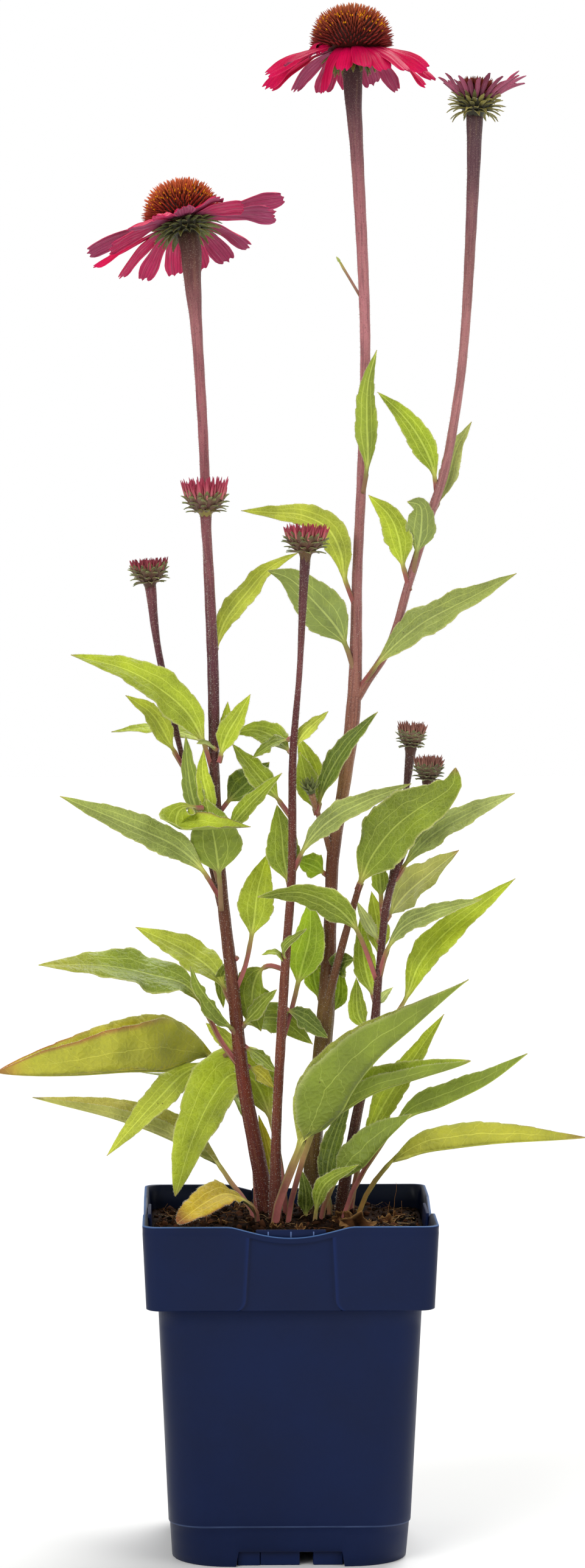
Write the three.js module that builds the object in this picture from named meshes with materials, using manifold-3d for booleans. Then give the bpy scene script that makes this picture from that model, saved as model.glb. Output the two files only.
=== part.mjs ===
// Purple coneflower (Echinacea purpurea) in a square plastic nursery pot.
// Millimetres, +Z up. The origin is the middle of the pot's foot, and -Y is the front.
import * as THREE from "three";
import { mergeVertices } from "three/addons/utils/BufferGeometryUtils.js";
import Module from "manifold-3d";

const wasm = await Module();
wasm.setup();

// ---- driving dimensions -------------------------------------------------
const POT_WIDTH = 131; // across the collar, side to side
const POT_HEIGHT = 154;
const COLLAR_HEIGHT = 38;
const BODY_TOP_WIDTH = 117; // just under the collar
const BODY_FOOT_WIDTH = 107;
const MOULD_LINE = 18; // height of the step above the foot
const WALL = 2;
const COLLAR_CORNER = 6; // corner radii of the collar, the body under it, its step and its foot
const BODY_CORNER = 11;
const STEP_CORNER = 17;
const FOOT_CORNER = 26;
const FLOOR_TOP = 10; // inner floor of the pot
const FLOOR_UNDER = 7; // underside of the floor, above the ground
const HOLLOW_HALF = 48; // half width of the hollow under the floor
const HOLLOW_CORNER = 22;
const NOTCH_HALF = 23.5; // half width of the opening at the foot of each side
const PAD_HALF = 12; // half width of the pad under the floor
const SLOT_HALF = 1.5; // the two slots through the pad
const SLOT_OFFSET = 7;
const DRAIN_RADIUS = 4;
const DRAIN_OFFSET = 30; // of each drain hole from the pot's middle planes
const SCALLOP_HALF = 27; // half width of the dip in each side of the rim
const SCALLOP_DEPTH = 4.9;
const PANEL_HALF = 18; // half width of the sunk panel in each side of the collar
const PANEL_DEPTH = 1;
const LIP = 3; // height of the lip under the dip
const TAB_HALF = 15.5; // half width of the tab inside each dip
const TAB_TOP = POT_HEIGHT - 1.6;

const SOIL_EDGE = 143; // height of the soil at the pot's wall
const SOIL_MOUND = 6; // rise of the soil in the middle
const GAP = 0.35; // clearance between pieces that touch
const ROOT_DEPTH = 16; // how far each stem stands in its hole
const HOLE_MARGIN = 1.3; // how much wider than the stem its hole is

const BLADE_THICKNESS = 0.8;
const PETAL_THICKNESS = 0.7;
const STEM_SIDES = 6;
const BLADE_STATIONS = [0.15, 0.4, 0.7, 1];
const SMALL_BLADE_STATIONS = [0.3, 0.7, 1];
const SMALL_LEAF = 11.5; // leaves narrower than this take the short list
const TOOTH = 0.1; // share of the width that a leaf's teeth cut in
const TIP_HALF = 0.5; // half width of a leaf at its tip

// ---- materials ----------------------------------------------------------
const finish = (color, roughness, metalness = 0) =>
  new THREE.MeshStandardMaterial({ color, roughness, metalness });
const MATERIALS = {
  pot: finish(0x1c2748, 0.5),
  soil: finish(0x2b1d14, 0.95),
  leaf: finish(0x7c9a35, 0.6),
  yellowLeaf: finish(0xb9a33c, 0.65),
  petal: finish(0xc9124d, 0.55),
  cone: finish(0x9c3a1e, 0.7),
  disc: finish(0x5a2a22, 0.75),
  floret: finish(0xa1505c, 0.7),
  paleFloret: finish(0xb98a7c, 0.7),
  bract: finish(0x55652c, 0.65),
};

// ---- solids -------------------------------------------------------------
const V = (x, y, z) => new THREE.Vector3(x, y, z);
const point = (p) => V(p[0], p[1], p[2]);

function solidOf(geometry) {
  const bare = new THREE.BufferGeometry();
  bare.setAttribute("position", geometry.getAttribute("position"));
  if (geometry.index) bare.setIndex(geometry.index);
  const merged = mergeVertices(bare, 1e-3);
  return new wasm.Manifold(
    new wasm.Mesh({
      numProp: 3,
      vertProperties: new Float32Array(merged.attributes.position.array),
      triVerts: new Uint32Array(merged.index.array),
    }),
  );
}

function geometryOf(solid) {
  const mesh = solid.getMesh();
  const geometry = new THREE.BufferGeometry();
  geometry.setAttribute("position", new THREE.BufferAttribute(mesh.vertProperties, 3));
  geometry.setIndex(new THREE.BufferAttribute(mesh.triVerts, 1));
  return geometry;
}

// Joins solids two by two, so that each join stays small.
function fuse(solids) {
  let row = solids;
  while (row.length > 1) {
    const next = [];
    for (let i = 0; i < row.length; i += 2) {
      next.push(i + 1 < row.length ? row[i].add(row[i + 1]) : row[i]);
    }
    row = next;
  }
  return row[0];
}

// A closed solid through rings of points, all of one count. Where mirrored(ring, place) holds,
// a face is split along its other diagonal; cap lists the triangles of each end.
function loft(rings, cap, mirrored = () => false) {
  const n = rings[0].length;
  const position = rings.flat().flatMap((p) => [p.x, p.y, p.z]);
  const index = [];
  for (let i = 0; i + 1 < rings.length; i++) {
    for (let j = 0; j < n; j++) {
      const a = i * n + j;
      const b = i * n + ((j + 1) % n);
      if (mirrored(i, j)) index.push(a, b, a + n, b, b + n, a + n);
      else index.push(a, b, b + n, a, b + n, a + n);
    }
  }
  const last = (rings.length - 1) * n;
  for (const [a, b, c] of cap) index.push(a, c, b, last + a, last + b, last + c);
  if (signedVolume(position, index) < 0) index.reverse();
  const geometry = new THREE.BufferGeometry();
  geometry.setAttribute("position", new THREE.Float32BufferAttribute(position, 3));
  geometry.setIndex(index);
  return solidOf(geometry);
}

function signedVolume(position, index) {
  const corner = (k) => V(position[3 * k], position[3 * k + 1], position[3 * k + 2]);
  let six = 0;
  for (let i = 0; i < index.length; i += 3) {
    six += corner(index[i]).dot(corner(index[i + 1]).cross(corner(index[i + 2])));
  }
  return six;
}

const fan = (n) => Array.from({ length: n - 2 }, (_, i) => [0, i + 1, i + 2]);

// ---- stems --------------------------------------------------------------
// A tapered round stem, straight between its waypoints [x, y, z, radius].
function stem(waypoints) {
  const curve = new THREE.CatmullRomCurve3(waypoints.map(point), false, "centripetal");
  const rings = waypoints.map(([x, y, z, radius], i) => {
    const tangent = curve.getTangent(i / (waypoints.length - 1));
    const side = V(1, 0, 0).addScaledVector(tangent, -tangent.x).normalize();
    const front = tangent.clone().cross(side);
    return Array.from({ length: STEM_SIDES }, (_, j) => {
      const angle = (2 * Math.PI * j) / STEM_SIDES;
      return V(x, y, z)
        .addScaledVector(side, radius * Math.cos(angle))
        .addScaledVector(front, radius * Math.sin(angle));
    });
  });
  return loft(rings, fan(STEM_SIDES));
}

// ---- blades: leaves and petals ------------------------------------------
const isBladeBack = (ring, place) => place === 3 || place === 4;
const BLADE_CAP = [
  [0, 1, 4],
  [0, 4, 5],
  [1, 2, 3],
  [1, 3, 4],
];

// One cross-section of a blade: left edge, midrib and right edge above, and the same below.
function bladeRing(centre, side, normal, half, thickness, fold) {
  const edge = (sign) =>
    centre
      .clone()
      .addScaledVector(side, sign * half * Math.cos(fold))
      .addScaledVector(normal, half * Math.sin(fold));
  const above = [edge(-1), centre.clone(), edge(1)];
  const below = above.map((p) => p.clone().addScaledVector(normal, -thickness));
  return [...above, below[2], below[1], below[0]];
}

// The same for a narrow strip, with no midrib.
const isStripBack = (ring, place) => place === 2;
const STRIP_CAP = [
  [0, 1, 2],
  [0, 2, 3],
];
const stripRing = (...section) => {
  const [left, , right, rightBelow, , leftBelow] = bladeRing(...section);
  return [left, right, rightBelow, leftBelow];
};

// Half width of a lance-shaped leaf at s = 0..1 along its blade, 1 at the widest.
function lance(s) {
  const rise = 0.62;
  const fall = 0.95;
  const widest = rise / (rise + fall);
  const shape = (x) => x ** rise * (1 - x) ** fall;
  return shape(s) / shape(widest);
}

// A leaf on its stalk. way: points of the midrib from the stem to the tip; wide: full width;
// face: where the upper side looks; stalk: its share of the length; fold: degrees that each
// half is raised; rooted: the leaf stands in the soil.
function leaf(way, wide, face, { stalk = 0.16, fold = 16, stalkWidth = 2, rooted = false } = {}) {
  const curve = new THREE.CatmullRomCurve3(way.map(point), false, "centripetal");
  const narrow = wide < SMALL_LEAF;
  const stations = narrow ? SMALL_BLADE_STATIONS : BLADE_STATIONS;
  const root = (ROOT_DEPTH + 2) / curve.getLength();
  const places = rooted ? [0, root, (root + stalk) / 2, stalk] : [0, stalk];
  const rings = [...places, ...stations.map((s) => stalk + (1 - stalk) * s)].map((t, i) => {
    const s = Math.max(0, (t - stalk) / (1 - stalk));
    const tangent = curve.getTangentAt(t);
    const look = point(face);
    const normal = look.addScaledVector(tangent, -look.dot(tangent)).normalize();
    const side = tangent.clone().cross(normal);
    const tooth = i % 2 ? 1 : 1 - TOOTH;
    const half = s ? Math.max((wide / 2) * lance(s) * tooth, TIP_HALF) : stalkWidth / 2;
    const thickness = s ? BLADE_THICKNESS : stalkWidth * 0.8;
    const centre = curve.getPointAt(t).addScaledVector(normal, thickness / 2);
    const angle = THREE.MathUtils.degToRad(s ? fold : 0);
    return (narrow ? stripRing : bladeRing)(centre, side, normal, half, thickness, angle);
  });
  return narrow ? loft(rings, STRIP_CAP, isStripBack) : loft(rings, BLADE_CAP, isBladeBack);
}

// ---- flower heads, each in its own frame with +Z along the stem ----------
// A turned body with thorns. levels: [radius, height, out, up]; every other place of a level
// is a thorn, moved outwards and upwards by out and up, and the next level's thorns stand
// between them. The faces are split from hollow to hollow, so that each thorn is a pyramid.
function thorned(levels, places) {
  const rings = levels.map(([radius, height, out = 0, up = 0], i) =>
    Array.from({ length: places }, (_, j) => {
      const angle = (2 * Math.PI * j) / places;
      const isThorn = (i + j) % 2 === 0;
      const r = radius + (isThorn ? out : 0);
      return V(r * Math.cos(angle), r * Math.sin(angle), height + (isThorn ? up : 0));
    }),
  );
  return loft(rings, fan(places), (i, j) => (i + j) % 2 === 0);
}

// Points of a strip that leaves the head at a radius and height, turned to an angle about the
// axis; its slope goes from rise to fall (degrees above level) along its length.
function arc(angle, radius, height, length, rise, fall, steps) {
  const points = [];
  let r = radius;
  let z = height;
  for (let i = 0; i <= steps; i++) {
    const slope = THREE.MathUtils.degToRad(THREE.MathUtils.lerp(rise, fall, (i + 0.5) / steps));
    points.push({ at: V(r * Math.cos(angle), r * Math.sin(angle), z), slope });
    r += (length / steps) * Math.cos(slope);
    z += (length / steps) * Math.sin(slope);
  }
  return points;
}

// A ring of petal colour with its petals. Each petal: [angle in degrees, length, width, rise,
// fall, twist in degrees].
const ARC_STEPS = 20;
const PETAL_STATIONS = [0, 0.35, 0.75, 1];
const PETAL_WIDTHS = [0.28, 0.8, 1, 0.6];
const NARROW_PETAL = 4; // petals narrower than this are plain strips
const PETAL_CROWN = -0.25; // how far each half of a petal is turned down, in radians
const PETAL_NOTCH = 1.4; // depth of the notch in a petal's tip
const PLATE_THICKNESS = 1.6;
const PLATE_SIDES = 10;
function petalRing(inner, foot, petals) {
  const plate = new THREE.CylinderGeometry(inner + 1, inner + 0.4, PLATE_THICKNESS, PLATE_SIDES);
  plate.rotateX(Math.PI / 2).translate(0, 0, foot + PLATE_THICKNESS / 2);
  const blades = petals.map(([degrees, length, wide, rise, fall, twist]) => {
    const angle = THREE.MathUtils.degToRad(degrees);
    const fine = arc(angle, inner - 1, foot + 1, length, rise, fall, ARC_STEPS);
    const narrow = wide < NARROW_PETAL;
    const side = V(-Math.sin(angle), Math.cos(angle), 0);
    const rings = PETAL_STATIONS.map((s, i) => {
      const { at, slope } = fine[Math.round(s * ARC_STEPS)];
      const out = V(Math.cos(angle), Math.sin(angle), Math.tan(slope)).normalize();
      const normal = out.clone().cross(side);
      const turn = THREE.MathUtils.degToRad(twist * s);
      const turned = side.clone().applyAxisAngle(out, turn);
      const up = normal.clone().applyAxisAngle(out, turn);
      const half = (wide * PETAL_WIDTHS[i]) / 2;
      const ring = (narrow ? stripRing : bladeRing)(at, turned, up, half, PETAL_THICKNESS, PETAL_CROWN);
      if (!narrow && i === PETAL_STATIONS.length - 1) {
        ring[1].addScaledVector(out, -PETAL_NOTCH);
        ring[4].addScaledVector(out, -PETAL_NOTCH);
      }
      return ring;
    });
    return narrow ? loft(rings, STRIP_CAP, isStripBack) : loft(rings, BLADE_CAP, isBladeBack);
  });
  return fuse([solidOf(plate), ...blades]);
}

// A domed head covered in spikes. rim: radius of the core; foot: height of its flat underside;
// dome: its height; rows and places: the spikes' grid; length: how far they stand out;
// lean: how far they turn from straight out towards the axis.
function spikyDome({ rim, foot, dome, rows, places, length, lean }) {
  const under = [[rim * 0.5, foot], [rim * 0.8, foot]];
  const levels = Array.from({ length: rows }, (_, i) => {
    const polar = (Math.PI / 2) * (1 - i / (rows - 0.2));
    const out = new THREE.Vector2(Math.sin(polar), Math.cos(polar) * 0.9 + lean).setLength(length);
    return [rim * Math.sin(polar), foot + dome * (0.2 + 0.8 * Math.cos(polar)), out.x, out.y];
  });
  const top = [rim * 0.06, foot + dome + length * 0.5];
  return thorned([...under, ...levels, top], places);
}

const TALL_CONE = { rim: 15.2, foot: 6.9, dome: 16.5, rows: 7, places: 22, length: 3.8, lean: 0.25 };
const LEFT_CONE = { ...TALL_CONE, rim: 14, dome: 15 };
// Green bracts under the head: a cup whose thorns are the bracts.
const LEFT_CUP = [
  [4.4, 0], [6.5, 1.2, 5.5, -4.5], [8, 2.2, 7, -2.5], [9.2, 3.2, 6.4, -0.9], [10, 4.5], [4, 4.6],
];
const TALL_CUP = [
  [4.4, 0], [6.2, 0.9, 3.2, -6], [7.8, 1.8, 4.2, -5.5], [9.2, 3.2, 4, -4], [10, 4.5], [4, 4.6],
];
const BLOOM_PLACES = 22;

// Petals, counter-clockwise from the right-hand side as the bloom is looked down on:
// [degrees, length, width, rise, fall, twist].
const LEFT_PETALS = [
  [2, 39, 9, 2, -4, 10], [22, 37, 9.5, -2, -18, -6], [44, 33, 9, -8, -34, 4],
  [63, 31, 10, -12, -42, 0], [84, 30, 11, -14, -46, 4], [106, 31, 11, -14, -48, -8],
  [127, 33, 9, -12, -44, 12], [148, 34, 9, -10, -40, 0], [168, 38, 9, -6, -32, -12],
  [188, 38, 8.5, -4, -28, 16], [206, 34, 8, -4, -26, 0], [226, 29, 9, -2, -18, 14],
  [248, 26, 9, -2, -12, -8], [272, 25, 9.5, 0, -8, 6], [296, 28, 8, 0, -10, -10],
  [318, 33, 8.5, 2, -10, 8], [340, 38, 9.5, 4, -8, -4],
];
const TALL_PETALS = [
  [4, 34, 9, -8, -40, 6], [25, 33, 9.5, -10, -48, -8], [48, 31, 9, -14, -60, 10],
  [70, 29, 9.5, -16, -66, 0], [92, 28, 10, -16, -66, -6], [114, 30, 9.5, -16, -64, 8],
  [136, 33, 9, -14, -54, 0], [157, 35, 9, -10, -44, -10], [177, 37, 9, -8, -38, 8],
  [196, 36, 9.5, -6, -34, -6], [215, 32, 9, -6, -36, 6], [234, 27, 9, -10, -40, 10],
  [254, 24, 8.5, -10, -44, -8], [273, 23, 9.5, -8, -42, 0], [294.5, 25, 9, -8, -40, 8],
  [313, 29, 9, -6, -36, -6], [333, 32, 9, -8, -38, 10],
];

const HALF_OPEN_CUP = [
  [3.4, 0], [4.8, 1.4, 7, -2.6], [6, 2.8, 7.2, 0.4], [7.2, 4.2, 6.4, 2.6],
  [7.8, 5.4, 4.8, 1.6], [8.2, 6], [4, 6],
];
const HALF_OPEN_PLACES = 20;
const HALF_OPEN_DISC = { rim: 6.4, foot: 8.35, dome: 5, rows: 4, places: 18, length: 4.2, lean: 1.3 };
// Narrow rolled rays of the half-open bloom: length and slope go round in a fixed pattern.
const HALF_OPEN_COUNT = 15;
const HALF_OPEN_RAYS = Array.from({ length: HALF_OPEN_COUNT }, (_, i) => {
  const outward = 0.5 + 0.5 * Math.cos((2 * Math.PI * i) / HALF_OPEN_COUNT);
  const length = 12 + 5 * outward + 2.2 * Math.sin(2.3 * i);
  const rise = 52 - 8 * outward + 5 * Math.sin(1.7 * i);
  return [(360 * i) / HALF_OPEN_COUNT, length, 2.9, rise, rise - 14, 20 * Math.sin(i)];
});

const BUD_PLACES = 16;
const budCup = (radius) => [
  [2.4, 0], [radius * 0.42, 1.2, 5.4, -1.6], [radius * 0.56, 2.6, 5.4, 0.4], [radius * 0.7, 4, 4.4, 2.6],
  [radius * 0.84, 5.4, 2, 3], [radius * 0.76, 5.6], [2, 5.6],
];
const budFlorets = (radius, length) => ({
  rim: radius * 0.76, foot: 5.95, dome: 4, rows: 4, places: BUD_PLACES, length, lean: 2.4,
});

// ---- the pot ------------------------------------------------------------
// A ring of points round a square with rounded corners.
function squareRing(half, corner, z, perCorner) {
  const ring = [];
  for (let quarter = 0; quarter < 4; quarter++) {
    const middle = quarter * (Math.PI / 2) + Math.PI / 4;
    const cx = Math.sign(Math.cos(middle)) * (half - corner);
    const cy = Math.sign(Math.sin(middle)) * (half - corner);
    for (let k = 0; k < perCorner; k++) {
      const angle = quarter * (Math.PI / 2) + (k / (perCorner - 1)) * (Math.PI / 2);
      ring.push(V(cx + corner * Math.cos(angle), cy + corner * Math.sin(angle), z));
    }
  }
  return ring;
}

const squareTower = (levels, perCorner) =>
  loft(
    levels.map(([half, z, corner]) => squareRing(half, corner, z, perCorner)),
    fan(4 * perCorner),
  );

function block(x0, x1, y0, y1, z0, z1) {
  const box = new THREE.BoxGeometry(x1 - x0, y1 - y0, z1 - z0);
  box.translate((x0 + x1) / 2, (y0 + y1) / 2, (z0 + z1) / 2);
  return solidOf(box);
}

// A plate along the collar's slope on one side of the pot: an outline of [x, z] points, from
// one depth behind the collar's face to another.
function sidePlate(outline, from, to, quarter) {
  const shape = new THREE.Shape(outline.map(([x, z]) => new THREE.Vector2(x, z - COLLAR_FOOT)));
  const plate = new THREE.ExtrudeGeometry(shape, { depth: to - from, bevelEnabled: false });
  plate.rotateX(Math.PI / 2);
  plate.translate(0, to, 0);
  plate.rotateX(Math.atan2(COLLAR_FLARE, COLLAR_HEIGHT));
  plate.translate(0, COLLAR_FLARE - POT_WIDTH / 2, COLLAR_FOOT);
  plate.rotateZ((quarter * Math.PI) / 2);
  return solidOf(plate);
}

const SIDES = [0, 1, 2, 3];
const POT_CORNER_POINTS = 4;
const COLLAR_FOOT = POT_HEIGHT - COLLAR_HEIGHT;
const COLLAR_WALL = 2.4;
const COLLAR_FLARE = 1.8; // how far each side of the collar leans out
// The pot's inside: half width, height and corner radius.
const INSIDE = [
  [BODY_FOOT_WIDTH / 2 - WALL, FLOOR_TOP, STEP_CORNER],
  [BODY_TOP_WIDTH / 2 - WALL, COLLAR_FOOT - 1, BODY_CORNER - WALL],
  [POT_WIDTH / 2 - COLLAR_FLARE - COLLAR_WALL, COLLAR_FOOT + 3, COLLAR_CORNER - WALL],
  [POT_WIDTH / 2 - COLLAR_WALL, POT_HEIGHT + 4, COLLAR_CORNER - WALL],
];

// Height of the rim at x along a side, where it dips in the middle.
const rimHeight = (x) =>
  POT_HEIGHT + 0.02 - SCALLOP_DEPTH * Math.cos((Math.PI * x) / (2 * SCALLOP_HALF));

function makePot() {
  const outer = squareTower(
    [
      [BODY_FOOT_WIDTH / 2 - 1, 0, FOOT_CORNER],
      [BODY_FOOT_WIDTH / 2, MOULD_LINE, STEP_CORNER],
      [BODY_FOOT_WIDTH / 2 + 0.6, MOULD_LINE + 0.4, STEP_CORNER],
      [BODY_TOP_WIDTH / 2, COLLAR_FOOT, BODY_CORNER],
      [POT_WIDTH / 2 - COLLAR_FLARE, COLLAR_FOOT + 0.5, COLLAR_CORNER],
      [POT_WIDTH / 2, POT_HEIGHT, COLLAR_CORNER],
    ],
    POT_CORNER_POINTS,
  );
  const hollow = [
    [HOLLOW_HALF - 1, -1, HOLLOW_CORNER],
    [HOLLOW_HALF, FLOOR_UNDER, HOLLOW_CORNER],
  ];
  let pot = outer
    .subtract(squareTower(INSIDE, POT_CORNER_POINTS))
    .subtract(squareTower(hollow, POT_CORNER_POINTS));

  const acrossDip = Array.from({ length: 9 }, (_, i) => SCALLOP_HALF * (i / 4 - 1));
  const dip = [
    [-SCALLOP_HALF, POT_HEIGHT + 5],
    ...acrossDip.map((x) => [x, rimHeight(x)]),
    [SCALLOP_HALF, POT_HEIGHT + 5],
  ];
  const acrossPanel = [-1, -0.5, 0, 0.5, 1].map((share) => share * PANEL_HALF);
  const panel = [
    ...acrossPanel.map((x) => [x, rimHeight(x) - LIP]),
    [PANEL_HALF + 2, COLLAR_FOOT + 3], [PANEL_HALF + 4.5, COLLAR_FOOT - 2],
    [-PANEL_HALF - 4.5, COLLAR_FOOT - 2], [-PANEL_HALF - 2, COLLAR_FOOT + 3],
  ];
  const tab = [
    [-TAB_HALF, SOIL_EDGE + 0.6], [TAB_HALF, SOIL_EDGE + 0.6], [TAB_HALF, TAB_TOP - 2.4],
    [TAB_HALF - 2, TAB_TOP], [2 - TAB_HALF, TAB_TOP], [-TAB_HALF, TAB_TOP - 2.4],
  ];
  for (const quarter of SIDES) {
    pot = pot.subtract(sidePlate(dip, -2, 6, quarter));
    pot = pot.subtract(sidePlate(panel, -1, PANEL_DEPTH, quarter));
    pot = pot.add(sidePlate(tab, COLLAR_WALL - 0.4, COLLAR_WALL + 1.4, quarter));
  }
  // the foot: open in the middle of each side, with a slotted pad under the floor
  const notchTop = FLOOR_UNDER - 0.4;
  pot = pot.subtract(block(-NOTCH_HALF, NOTCH_HALF, -POT_WIDTH, POT_WIDTH, -1, notchTop));
  pot = pot.subtract(block(-POT_WIDTH, POT_WIDTH, -NOTCH_HALF, NOTCH_HALF, -1, notchTop));
  pot = pot.add(block(-PAD_HALF, PAD_HALF, -PAD_HALF, PAD_HALF, 0, FLOOR_UNDER + 1));
  for (const x of [-SLOT_OFFSET, SLOT_OFFSET]) {
    const slot = block(x - SLOT_HALF, x + SLOT_HALF, -POT_WIDTH, POT_WIDTH, -1, FLOOR_UNDER - 1.5);
    pot = pot.subtract(slot);
  }
  for (const x of [-DRAIN_OFFSET, DRAIN_OFFSET]) {
    for (const y of [-DRAIN_OFFSET, DRAIN_OFFSET]) {
      const drain = new THREE.CylinderGeometry(DRAIN_RADIUS, DRAIN_RADIUS, 10, 8);
      drain.rotateX(Math.PI / 2).translate(x, y, FLOOR_TOP - 2);
      pot = pot.subtract(solidOf(drain));
    }
  }
  return pot;
}

// ---- where everything stands in the soil: [x, y, radius] ------------------
const ROOTS = {
  stem_left: [-10, 6, 4.4],
  stem_tall: [11, 9, 4.2],
  stem_middle: [-6, -8, 3],
  stem_right: [24, -2, 2.9],
  leaf_broad_front: [-6, -20, 2.4],
  leaf_long_front: [0, -15, 1.6],
  leaf_right_rising: [25, -13, 1.4],
  leaf_right_level: [32, -6, 1.4],
  leaf_right_small: [15, -11, 1.4],
  leaf_right_back: [29, 9, 1.4],
  leaf_centre_dark: [19, 3, 1.4],
  leaf_left_broad: [-14, 16, 1.6],
  leaf_left_drooping: [-1, 1, 1.5],
  leaf_left_low: [-16, -5, 1.4],
  leaf_left_back: [-6, 18, 1.4],
  leaf_dying: [-14, -15, 1.4],
  leaf_base_upright: [8, -4, 1.2],
  leaf_base_right: [12, -17, 1.2],
  leaf_base_yellow: [-3, 13, 1.2],
};
const HOLE_FOOT = SOIL_EDGE - ROOT_DEPTH;
// The straight foot of a stem or stalk in its hole.
const foot = (name) => {
  const [x, y, radius] = ROOTS[name];
  return [
    [x, y, HOLE_FOOT + GAP, radius],
    [x, y, SOIL_EDGE + SOIL_MOUND + 2, radius],
  ];
};

function soilHeight(x, y) {
  const reach = Math.min(1, Math.hypot(x, y) / 62);
  const crumbs = 0.7 * Math.sin(0.53 * x + 0.9) * Math.cos(0.47 * y) + 0.5 * Math.sin(0.31 * x - 0.71 * y);
  return SOIL_EDGE + SOIL_MOUND * (1 - reach * reach) + crumbs * (1 - reach ** 4);
}

function makeSoil() {
  const [, , aboveStep, top] = INSIDE;
  const edgeHalf = THREE.MathUtils.mapLinear(SOIL_EDGE, aboveStep[1], top[1], aboveStep[0], top[0]);
  const edge = squareRing(edgeHalf - GAP, top[2], SOIL_EDGE, POT_CORNER_POINTS);
  const below = INSIDE.slice(0, 3).map(([half, z, corner], i) =>
    squareRing(half - GAP, corner, z + (i ? 1 : GAP), POT_CORNER_POINTS),
  );
  const mound = [0.82, 0.58, 0.34, 0.1].map((share) =>
    edge.map((p) => V(p.x * share, p.y * share, soilHeight(p.x * share, p.y * share))),
  );
  const soil = loft([...below, edge, ...mound], fan(4 * POT_CORNER_POINTS));
  const holes = Object.values(ROOTS).map(([x, y, radius]) => {
    const wide = radius + HOLE_MARGIN;
    const hole = new THREE.CylinderGeometry(wide, wide, 4 * ROOT_DEPTH, STEM_SIDES);
    hole.rotateX(Math.PI / 2).translate(x, y, HOLE_FOOT + 2 * ROOT_DEPTH);
    return solidOf(hole);
  });
  return soil.subtract(fuse(holes));
}

// ---- leafy stems: waypoints [x, y, z, radius] and leaves -----------------
const leafyStem = (stems, leaves) => fuse([...stems.map(stem), ...leaves]);

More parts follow.
